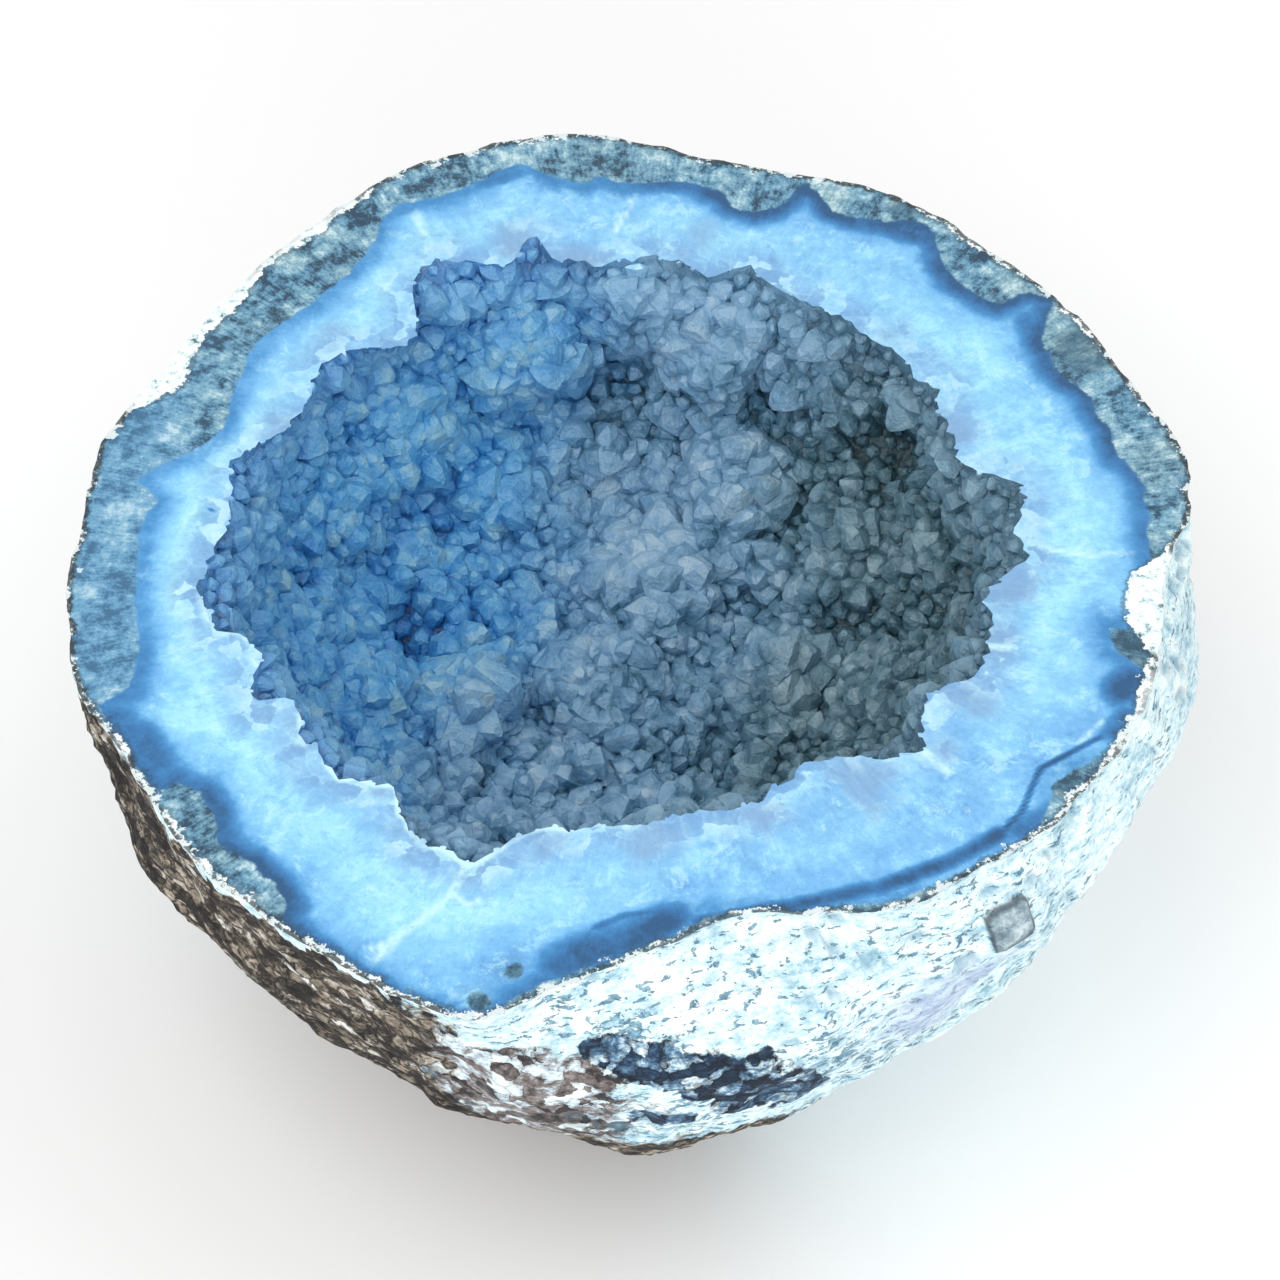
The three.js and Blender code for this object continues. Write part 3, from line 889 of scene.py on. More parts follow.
    def build(self) -> bpy.types.Material:
        """Makes the material.

        Returns:
            The finished material.
        """
        bench = NodeBench("sawn chalcedony")
        place = bench.place()
        coarse = self.fibres(bench, 62.0, 6.0)
        fine = self.fibres(bench, 150.0, 4.0)
        wobble = bench.spread(bench.noise(place, 600.0, 5.0, 0.7), 1.3)
        grey_depth = bench.math("ADD", bench.attribute("grey_depth"), wobble)
        pale = self.pale_bands(bench, coarse, fine)
        broken = bench.spread(bench.noise(place, 300.0, 7.0, 0.74), 1.1)
        line = bench.math("ADD", bench.attribute("blue_line"), broken)
        blue = bench.ramp(bench.math("ADD", line, bench.spread(fine, 0.2)), [
            (0.2, (104, 182, 238)), (0.5, (70, 148, 208)), (0.8, (48, 116, 174)), (1.0, (32, 86, 132)),
        ])
        colour = bench.mix(bench.ramp_between(line, 0.08, 0.62), pale, blue)
        colour = bench.mix(bench.ramp_between(grey_depth, -0.1, 0.2), colour, self.grey_layer(bench, fine))
        colour = self.edge_of_rind(bench, colour)
        pits = bench.cells(place, 900.0).outputs["Distance"]
        relief = bench.math("ADD", bench.noise(place, 2400.0, 2.0, 0.6), bench.ramp_between(pits, 0.0, 0.16))
        relief = bench.math("ADD", relief, bench.noise(place, 380.0, 4.0, 0.6))
        skin = bench.node("ShaderNodeBsdfPrincipled", {
            "Base Color": colour, "Roughness": self.roughness, "IOR": 1.54,
            "Normal": bench.bump(relief, 0.25, 0.0003),
        })
        return bench.finish(skin)


@dataclass(frozen=True)
class RindFinish:
    """Weathered outer rind: flecked chalk, brown plates with open cracks, a slate stain, and painted shade in
    the pits and on the clast's sides.
    """

    roughness: float = 0.85
    plate_scale: float = 740.0
    plate_flatten: float = 1.35
    fleck_flatten: float = 3.2

    def plates(self, bench: NodeBench) -> tuple[bpy.types.NodeSocket, bpy.types.NodeSocket]:
        """Small plates of rind.

        Args:
            bench: The material's bench.

        Returns:
            A random number from 0 to 1 for each plate, and how near its edge each place is.
        """
        lain = bench.stretched((1.0, 1.0, self.plate_flatten))
        jitter = bench.node("ShaderNodeTexNoise", {"Vector": lain, "Scale": self.plate_scale, "Detail": 3.0})
        push = bench.node("ShaderNodeVectorMath", {0: jitter.outputs["Color"], 1: (0.5, 0.5, 0.5)},
                          operation="SUBTRACT")
        sized = bench.node("ShaderNodeVectorMath", {0: push.outputs[0], "Scale": 1.3 / self.plate_scale},
                           operation="SCALE")
        moved = bench.node("ShaderNodeVectorMath", {0: lain, 1: sized.outputs[0]}, operation="ADD").outputs[0]
        each = bench.node("ShaderNodeSeparateColor",
                          {0: bench.cells(moved, self.plate_scale).outputs["Color"]})
        gap = bench.cells(moved, self.plate_scale, "DISTANCE_TO_EDGE").outputs["Distance"]
        return each.outputs[0], bench.ramp_between(gap, 0.13, 0.03)

    def chalk(self, bench: NodeBench, coarse: bpy.types.NodeSocket,
              fine: bpy.types.NodeSocket) -> tuple[bpy.types.NodeSocket, bpy.types.NodeSocket]:
        """White rind with short dark flecks.

        Args:
            bench: The material's bench.
            coarse: Noise from 0 to 1 in patches of a few millimetres.
            fine: Noise from 0 to 1 in patches of half a millimetre.

        Returns:
            The colour, and how strongly each place is a fleck.
        """
        flat = bench.stretched((1.0, 1.0, self.fleck_flatten))
        cloud = bench.spread(bench.noise(flat, 560.0, 6.0, 0.76), 1.2)
        soft = bench.math("ADD", cloud, bench.spread(coarse, 0.7))
        white = bench.ramp(bench.math("ADD", soft, bench.math("ADD", bench.spread(fine, 0.5), 0.52)), [
            (0.22, (130, 172, 192)), (0.38, (182, 216, 230)), (0.5, (216, 243, 249)), (0.62, (242, 255, 255)),
        ])
        strokes = bench.noise(flat, 980.0, 3.0, 0.62, 0.5)
        crowd = bench.spread(bench.noise(bench.place(), 130.0, 3.0), 0.34)
        crowd = bench.math("ADD", crowd, bench.math("MULTIPLY", bench.attribute("flecked"), 0.052))
        fleck = bench.ramp_between(bench.math("ADD", strokes, crowd), 0.62, 0.67)
        tint = bench.ramp(fine, [(0.35, (34, 84, 110)), (0.5, (78, 136, 166)), (0.65, (142, 192, 214))])
        return bench.mix(bench.math("MULTIPLY", fleck, 0.85), white, tint), fleck

    def build(self) -> bpy.types.Material:
        """Makes the material.

        Returns:
            The finished material.
        """
        bench = NodeBench("weathered rind")
        lain = bench.stretched((1.0, 1.0, 1.5))
        coarse = bench.noise(lain, 260.0, 5.0, 0.68)
        middling = bench.noise(lain, 640.0, 5.0, 0.72)
        fine = bench.noise(lain, 1500.0, 4.0, 0.7)
        chance, crack = self.plates(bench)
        colour, fleck = self.chalk(bench, coarse, fine)
        earthy = bench.math("MULTIPLY", bench.attribute("earthy"), 0.8)
        colour = bench.mix(earthy, colour, seen((222, 206, 182)), "MULTIPLY")
        value = bench.math("ADD", bench.math("MULTIPLY", chance, 0.6), bench.spread(coarse, 1.2))
        value = bench.math("ADD", bench.math("ADD", value, bench.spread(fine, 0.9)), 0.15)
        soil = bench.ramp(value, [
            (0.16, (26, 22, 22)), (0.32, (74, 66, 58)), (0.48, (130, 120, 106)), (0.64, (168, 156, 140)),
            (0.8, (206, 202, 192)), (0.92, (238, 242, 240)),
        ])
        tan = bench.ramp(value, [
            (0.14, (52, 48, 52)), (0.32, (112, 104, 102)), (0.46, (150, 142, 140)), (0.56, (184, 202, 214)),
            (0.68, (226, 244, 248)), (0.84, (242, 254, 254)),
        ])
        slate = bench.ramp(value, [
            (0.26, (12, 34, 56)), (0.46, (38, 68, 100)), (0.62, (92, 130, 160)), (0.76, (176, 206, 224)),
            (0.88, (240, 252, 252)),
        ])
        long = bench.noise(bench.stretched((1.0, 1.0, 3.4)), 300.0, 5.0, 0.7)
        lilac = bench.ramp(long, [(0.36, (128, 150, 184)), (0.48, (174, 192, 220)), (0.6, (212, 230, 243))])
        edge = bench.math("ADD", bench.spread(coarse, 1.2), bench.spread(middling, 1.0))
        shares = {name: bench.ramp_between(bench.math("ADD", bench.attribute(name), edge), 0.34, 0.58)
                  for name in ("tan", "soil", "slate")}
        colour = bench.mix(bench.math("MULTIPLY", bench.attribute("lilac"), 0.9), colour, lilac)
        for name, tint in (("tan", tan), ("soil", soil), ("slate", slate)):
            colour = bench.mix(shares[name], colour, tint)
        lost = bench.ramp_between(bench.math("ADD", middling, bench.spread(coarse, 0.7)), 0.49, 0.43)
        lost = bench.math("MULTIPLY", lost, shares["soil"])
        colour = bench.mix(bench.math("MULTIPLY", lost, 0.9), colour, seen((26, 20, 19)))
        dirt = bench.math("MAXIMUM", shares["soil"], bench.math("MULTIPLY", shares["slate"], 0.7))
        dirt = bench.math("MAXIMUM", dirt, bench.math("MULTIPLY", shares["tan"], 0.4))
        opened = bench.math("MULTIPLY", crack, dirt)
        opened = bench.math("MULTIPLY", opened, bench.ramp_between(middling, 0.36, 0.56))
        colour = bench.mix(bench.math("MULTIPLY", opened, 0.85), colour, seen((20, 18, 20)))
        # Painted shade in the pits: blue-grey on the white rind, near black within the stains.
        pit_shade = bench.mix(dirt, seen((112, 160, 184)), seen((22, 22, 26)))
        colour = bench.mix(bench.math("MULTIPLY", bench.attribute("hollows"), 0.8), colour, pit_shade)
        block = bench.attribute("clast")
        # Painted shade on the clast's sloping sides: a dark band round its lighter top.
        side = bench.ramp_between(block, 0.8, 0.5)
        side = bench.math("MULTIPLY", bench.ramp_between(block, 0.1, 0.4), side)
        face = bench.ramp(middling, [(0.35, (96, 116, 130)), (0.5, (150, 172, 182)), (0.65, (206, 222, 226))])
        colour = bench.mix(bench.ramp_between(block, 0.3, 0.7), colour, face)
        colour = bench.mix(bench.math("MULTIPLY", side, 0.8), colour, seen((44, 60, 74)))
        height = bench.math("ADD", bench.math("MULTIPLY", coarse, 0.9), bench.math("MULTIPLY", middling, 0.5))
        height = bench.math("SUBTRACT", height, bench.math("MULTIPLY", opened, 0.4))
        height = bench.math("SUBTRACT", height, bench.math("MULTIPLY", fleck, 0.25))
        skin = bench.node("ShaderNodeBsdfPrincipled", {
            "Base Color": colour, "Roughness": self.roughness, "IOR": 1.5,
            "Normal": bench.bump(height, 0.85, 0.0008),
        })
        return bench.finish(skin)


@dataclass(frozen=True)
class BowlFinish:
    """Dark chalcedony that the quartz is rooted in, seen only through the quartz."""

    roughness: float = 0.6

    def build(self) -> bpy.types.Material:
        """Makes the material.

        Returns:
            The finished material.
        """
        bench = NodeBench("dark chalcedony")
        place = bench.place()
        parts = bench.node("ShaderNodeSeparateXYZ", {0: place})
        side = bench.ramp_between(parts.outputs[0], -0.015, 0.012)
        mottle = bench.noise(place, 180.0, 4.0)
        blue = bench.mix(mottle, seen((30, 70, 120)), seen((90, 140, 190)))
        grey = bench.mix(mottle, seen((38, 54, 66)), seen((96, 116, 126)))
        skin = bench.node("ShaderNodeBsdfPrincipled", {
            "Base Color": bench.mix(side, blue, grey), "Roughness": self.roughness,
        })
        return bench.finish(skin)


@dataclass(frozen=True)
class QuartzFinish:
    """Cloudy see-through quartz, grey-green at the right of the hollow, with the blue at the left painted as
    light shining through the wall and the crystals near the mouth painted paler.
    """

    roughness: float = 0.34
    clearness: float = 0.34
    cloud_density: float = 60.0

    def painted_light_and_tone(self, bench: NodeBench) -> bpy.types.NodeSocket:
        """How pale each place is, from 0 to 1: painted light on tips and mounds, painted shade in clefts and
        recesses, painted facet reflections as a random lightness per facet, and the quartz's own random tone.
        """
        place = bench.place()
        cloud = bench.spread(bench.noise(place, 380.0, 5.0, 0.66), 0.95)
        mottle = bench.spread(bench.noise(place, 1150.0, 4.0, 0.7), 0.6)
        # Painted light and shade: pale where the quartz stands proud of the bed and on mounds, dark in clefts
        # and recesses.
        painted_light_and_tone = bench.math("MULTIPLY", bench.attribute("proud"), 0.36)
        for name, strength in (("tone", 0.2), ("facet", 0.18), ("mound", 0.056)):
            painted_light_and_tone = bench.math("ADD", painted_light_and_tone, bench.math("MULTIPLY", bench.attribute(name), strength))
        painted_light_and_tone = bench.math("ADD", painted_light_and_tone, bench.math("ADD", cloud, mottle))
        return bench.math("ADD", painted_light_and_tone, 0.1)

    def build(self) -> bpy.types.Material:
        """Makes the material.

        Returns:
            The finished material.
        """
        bench = NodeBench("cloudy quartz")
        place = bench.place()
        parts = bench.node("ShaderNodeSeparateXYZ", {0: place})
        drift = bench.spread(bench.noise(place, 60.0, 3.0), 0.02)
        across = bench.math("ADD", parts.outputs[0], drift)
        across = bench.math("ADD", across, bench.math("MULTIPLY", parts.outputs[1], -0.3))
        painted_light_and_tone = self.painted_light_and_tone(bench)
        blue = bench.ramp(painted_light_and_tone, [
            (0.05, (26, 88, 144)), (0.3, (64, 156, 232)), (0.6, (110, 196, 251)), (0.95, (176, 232, 252)),
        ])
        middle = bench.ramp(painted_light_and_tone, [
            (0.05, (42, 86, 108)), (0.3, (100, 154, 186)), (0.6, (150, 200, 236)), (0.95, (200, 232, 250)),
        ])
        grey = bench.ramp(painted_light_and_tone, [
            (0.05, (40, 72, 82)), (0.3, (82, 122, 136)), (0.6, (128, 168, 184)), (0.95, (190, 220, 228)),
        ])
        # Painted light: the left of the hollow is painted blue, as light shining through the wall.
        colour = bench.mix(bench.ramp_between(across, -0.019, -0.007), blue, middle)
        colour = bench.mix(bench.ramp_between(across, 0.0, 0.015), colour, grey)
        # Painted light: crystals near the mouth are painted paler than the deep ones.
        high = bench.ramp_between(parts.outputs[2], 0.031, 0.0395)
        colour = bench.mix(bench.math("MULTIPLY", high, 0.3), colour, seen((152, 200, 238)))
        glint = bench.ramp_between(bench.attribute("facet"), 0.984, 0.996)
        colour = bench.mix(bench.math("MULTIPLY", glint, 0.4), colour, seen((176, 226, 252)))
        relief = bench.math("ADD", bench.noise(place, 620.0, 4.0, 0.62), bench.noise(place, 1900.0, 3.0, 0.6))
        skin = bench.node("ShaderNodeBsdfPrincipled", {
            "Base Color": colour, "Roughness": self.roughness, "IOR": 1.54,
            "Transmission Weight": self.clearness, "Normal": bench.bump(relief, 0.5, 0.0006),
        })
        depth = bench.node("ShaderNodeVolumeAbsorption", {
            "Color": seen((160, 200, 230)), "Density": self.cloud_density,
        })
        return bench.finish(skin, depth)


@dataclass(frozen=True)
class FloorFinish:
    """Plain pale floor."""

    colour: tuple[int, int, int] = (253, 253, 253)

    def build(self) -> bpy.types.Material:
        """Makes the material.

        Returns:
            The finished material.
        """
        bench = NodeBench("pale floor")
        return bench.finish(bench.node("ShaderNodeBsdfPrincipled", {
            "Base Color": seen(self.colour), "Roughness": 0.9,
        }))


@dataclass
class StoneWall:
    """The nodule's wall: rough rind outside, flat cut on top, hidden bowl inside. Millimetres."""

    height: float
    sectors: int = 600
    bowl_rings: int = 12
    cut_rings: int = 40
    rind_rings: int = 96
    joint_overlap: float = 0.4
    form_blur: float = 3.0
    knob_size: float = 9.0
    knob_relief: float = 0.62
    lump_size: float = 3.2
    lump_relief: float = 0.36
    pit_size: float = 1.7
    pit_depth: float = 0.4
    ledge_size: float = 2.2
    ledge_relief: float = 0.26
    rim_ripple: float = 0.24
    foot_calm: float = 1.6
    edge_drop: float = 0.05
    ripple_size: float = 2.2
    warp_size: float = 2.0
    pitted_patch: float = 4.5
    clast_middle: tuple[float, float, float] = (25.7, -29.8, 35.9)
    clast_along: tuple[float, float, float] = (0.76, 0.65, 0.0)
    clast_half_width: float = 1.75
    clast_half_height: float = 1.2
    clast_rise: float = 0.75
    clast_reach: float = 6.0
    surface: CadSurface = field(default_factory=lambda: CadSurface(STONE_NODE))

    def __post_init__(self) -> None:
        """Fixes the bearings and the point that all rays meet."""
        self.bearings = np.arange(self.sectors) / self.sectors * FULL_TURN
        self.focus = np.array([0.0, 0.0, self.height])

    def rim_radii(self) -> np.ndarray:
        """Radius of the saw cut's outer edge at each bearing, with its small chips."""
        below = self.focus - np.array([0.0, 0.0, self.edge_drop])
        rim = blurred_ring(self.surface.inward(below, headings_at(self.bearings, 0.0)), self.form_blur)
        places = np.stack([np.cos(self.bearings) * rim, np.sin(self.bearings) * rim,
                           np.full(self.sectors, self.height)], axis=1)
        ripple = layered_noise(places, self.ripple_size, 3, 31)
        return rim + ripple * self.rim_ripple

    def bowl_points(self) -> np.ndarray:
        """Rings of the hidden bowl under the crust, from its foot up."""
        falls = np.linspace(math.pi / 2, 0, self.bowl_rings + 2)[1:-1]
        rings = []
        for fall in falls:
            heading = headings_at(self.bearings, fall)
            reach = blurred_ring(self.surface.outward(self.focus, heading), self.form_blur)
            rings.append(self.focus + heading * (reach - self.joint_overlap)[:, None])
        return np.array(rings)

    def cut_points(self, rim: np.ndarray, mouth: np.ndarray) -> np.ndarray:
        """Rings of the flat cut from the crust's joint out to the rim."""
        shares = np.linspace(0, 1, self.cut_rings + 1)
        heading = headings_at(self.bearings, 0.0)
        return np.array([self.focus + heading * (mouth + (rim - mouth) * share)[:, None] for share in shares])

    def rind_points(self, rim: np.ndarray) -> tuple[np.ndarray, np.ndarray]:
        """Rings of the rind from just below the rim down to the foot.

        Args:
            rim: Radius of the rim at each bearing.

        Returns:
            The points by ring and bearing, and how deep in a hollow each one lies, from 0 to 1.
        """
        falls = np.linspace(0, math.pi / 2, self.rind_rings + 2)[1:-1]
        reach = np.array([self.surface.inward(self.focus, headings_at(self.bearings, fall))
                          for fall in falls])
        reach[0] = np.where(np.isnan(reach[0]), rim, reach[0])
        reach = blurred_ring(reach.T, self.form_blur).T
        middle = reach[1:-1] * 0.5 + (reach[2:] + reach[:-2]) * 0.25
        reach[1:-1] = middle
        heading = np.array([headings_at(self.bearings, fall) for fall in falls])
        points = self.focus + heading * reach[..., None]
        relief, hollows = self.relief_at(points.reshape(-1, 3))
        relief = relief.reshape(reach.shape)
        depth = (self.height - points[..., 2])
        relief = relief * smoothstep(depth, 0.0, 1.2) * smoothstep(points[..., 2], 0.0, self.foot_calm)
        knobs = layered_noise(points.reshape(-1, 3), self.knob_size, 2, 13).reshape(reach.shape)
        knobs = knobs * smoothstep(depth, 1.0, 8.0) * smoothstep(points[..., 2], 0, 5)
        relief = relief + knobs * self.knob_relief
        ripple = (rim - reach[0]) * (1 - smoothstep(depth, 0.0, 2.5))
        moved = points + heading * (relief + ripple)[..., None]
        moved[..., 2] = np.maximum(moved[..., 2], 0.0)
        return moved, hollows.reshape(reach.shape)

    def relief_at(self, points: np.ndarray) -> tuple[np.ndarray, np.ndarray]:
        """Lumps, ledges and pits of the rind.

        Args:
            points: Places on the plain form, one row each.

        Returns:
            How far each place moves out, and how deep in a hollow it lies from 0 to 1.
        """
        flattened = points * np.array([1.0, 1.0, 2.1])
        lumps = layered_noise(points, self.lump_size, 3, 11) * self.lump_relief
        warp = [layered_noise(points, self.warp_size, 2, 17 + axis) for axis in range(3)]
        warp = np.stack(warp, axis=1)
        ledges = np.abs(layered_noise(flattened + warp, self.ledge_size, 3, 23))
        pits = cell_distance((flattened + warp * 0.6) / self.pit_size, 41)
        chosen = smoothstep(soft_noise(points / self.pitted_patch, 47), -0.25, 0.35)
        sunk = (1 - smoothstep(pits, 0.12, 0.62)) * chosen
        relief = lumps + (0.35 - ledges) * self.ledge_relief - sunk * self.pit_depth
        clast = self.clast(points)
        relief = relief * (1 - clast) + clast * self.clast_rise
        return relief, smoothstep(sunk, 0.25, 0.9)

    def stains(self, points: np.ndarray) -> dict[str, np.ndarray]:
        """Where the rind is brown, slate-dark or lilac, from 0 to 1.

        Args:
            points: Places in millimetres, one row each.

        Returns:
            Attribute names and one share for each place.
        """
        degrees = np.degrees(np.arctan2(points[:, 1], points[:, 0])) % 360
        depth = self.height - points[:, 2]
        wander = layered_noise(points, 9.0, 4, 61)
        fine = layered_noise(points * np.array([1.0, 1.0, 2.0]), 2.2, 3, 67)
        front_left = smoothstep(degrees, 170, 200) * (1 - smoothstep(degrees, 238, 262))
        under_edge = smoothstep(depth + fine * 1.3, 0.0, 1.0)
        hidden = smoothstep(degrees, 10, 40) * (1 - smoothstep(degrees, 160, 180))
        behind = smoothstep(degrees, 12, 45) * (1 - smoothstep(degrees, 176, 200))
        back = smoothstep(wander + fine * 0.15, 0.0, 0.5) * smoothstep(depth, 2.0, 12.0) * behind
        low = smoothstep(depth, 13.5, 17.5) * smoothstep(degrees, 200, 240)
        low = low * (1 - smoothstep(degrees, 280, 300))
        soil = np.clip(np.maximum(front_left * under_edge, low * 0.75) + back * 0.8, 0, 1)
        start = 1.0 + 2.6 * smoothstep(degrees, 246, 260)
        tan = smoothstep(degrees, 236, 248) * (1 - smoothstep(degrees, 262, 276))
        tan = tan * smoothstep(depth + fine * 0.8 - start, 0.0, 2.2)
        aged = smoothstep(layered_noise(points, 13.0, 4, 63) + depth * 0.02, -0.05, 0.7)
        tan = np.maximum(tan, hidden * aged)
        slate = np.array(SLATE_BY_BEARING)
        middle = np.interp(degrees, slate[:, 0], slate[:, 1])
        half = np.interp(degrees, slate[:, 0], slate[:, 2])
        within = smoothstep(degrees, 262, 265) * (1 - smoothstep(degrees, 288, 291))
        patch = (1 - smoothstep(np.abs(depth - middle) / half + fine * 0.35, 0.75, 1.3)) * within
        around = (degrees - 271.5) / 4.0
        down = (depth - 11.0) / 1.4
        branch = 1 - smoothstep(np.sqrt(around**2 + down**2) + fine * 0.4, 0.5, 1.2)
        far = (degrees - 303) / 14
        below = (depth - 9.5) / 4.2
        lilac = 1 - smoothstep(np.sqrt(far**2 + below**2) + wander * 0.4, 0.45, 1.3)
        flecked = smoothstep(degrees, 250, 264) * (1 - smoothstep(degrees, 296, 312))
        flecked = flecked * (1 - 0.6 * (1 - smoothstep(depth, 0.6, 2.0)))
        return {
            "soil": soil, "tan": tan, "slate": np.maximum(patch, branch), "lilac": lilac,
            "flecked": flecked, "clast": self.clast(points),
            "earthy": hidden * smoothstep(layered_noise(points, 15.0, 4, 65), -0.5, 0.4),
        }

    def clast(self, points: np.ndarray) -> np.ndarray:
        """Whether each place is on the square grey stone set in the rind, from 0 to 1."""
        middle = np.array(self.clast_middle)
        across = np.abs((points - middle) @ np.array(self.clast_along)) / self.clast_half_width
        upward = np.abs(points[:, 2] - middle[2]) / self.clast_half_height
        gap = np.maximum(across, upward)
        near = np.linalg.norm(points - middle, axis=1) < self.clast_reach
        return np.where(near, 1 - smoothstep(gap, 0.85, 1.1), 0.0)

    def build(self, cut: SawCut, rim: np.ndarray, mouth: np.ndarray) -> bpy.types.Object:
        """Makes the dressed stone.

        Args:
            cut: The saw cut and its layers.
            rim: Radius of the rim at each bearing.
            mouth: Radius at each bearing where the stone meets the crust on the cut.

        Returns:
            The stone's object.
        """
        bowl = self.bowl_points()
        face = self.cut_points(rim, mouth)
        rind, hollows = self.rind_points(rim)
        rings = np.concatenate([bowl, face, rind])
        foot = np.array([0.0, 0.0, bowl[0, :, 2].min()])
        mesh = mesh_from_rings("banded_stone", rings, foot, np.zeros(3))
        mesh.flip_normals()
        points = np.vstack([rings.reshape(-1, 3), foot[None], np.zeros((1, 3))])
        values = cut.attributes(points[:, :2])
        values.update(self.stains(points))
        pitted = np.zeros(len(points))
        first = (len(bowl) + len(face)) * self.sectors
        pitted[first:first + hollows.size] = hollows.ravel()
        values["hollows"] = pitted
        store_attributes(mesh, values)
        for finish in (CutFinish(), RindFinish(), BowlFinish()):
            mesh.materials.append(finish.build())
        start = (len(bowl) - 1) * self.sectors
        end = (len(bowl) + len(face) - 1) * self.sectors
        slots = np.full(len(mesh.polygons), StoneZone.RIND.value, np.int32)
        slots[:end] = StoneZone.CUT.value
        slots[:start] = StoneZone.BOWL.value
        slots[-2 * self.sectors:-self.sectors] = StoneZone.BOWL.value
        mesh.polygons.foreach_set("material_index", slots)
        smooth = np.ones(len(mesh.polygons), bool)
        smooth[start:end] = False
        mesh.polygons.foreach_set("use_smooth", smooth)
        mesh.update()
        return new_object("banded_stone", mesh)


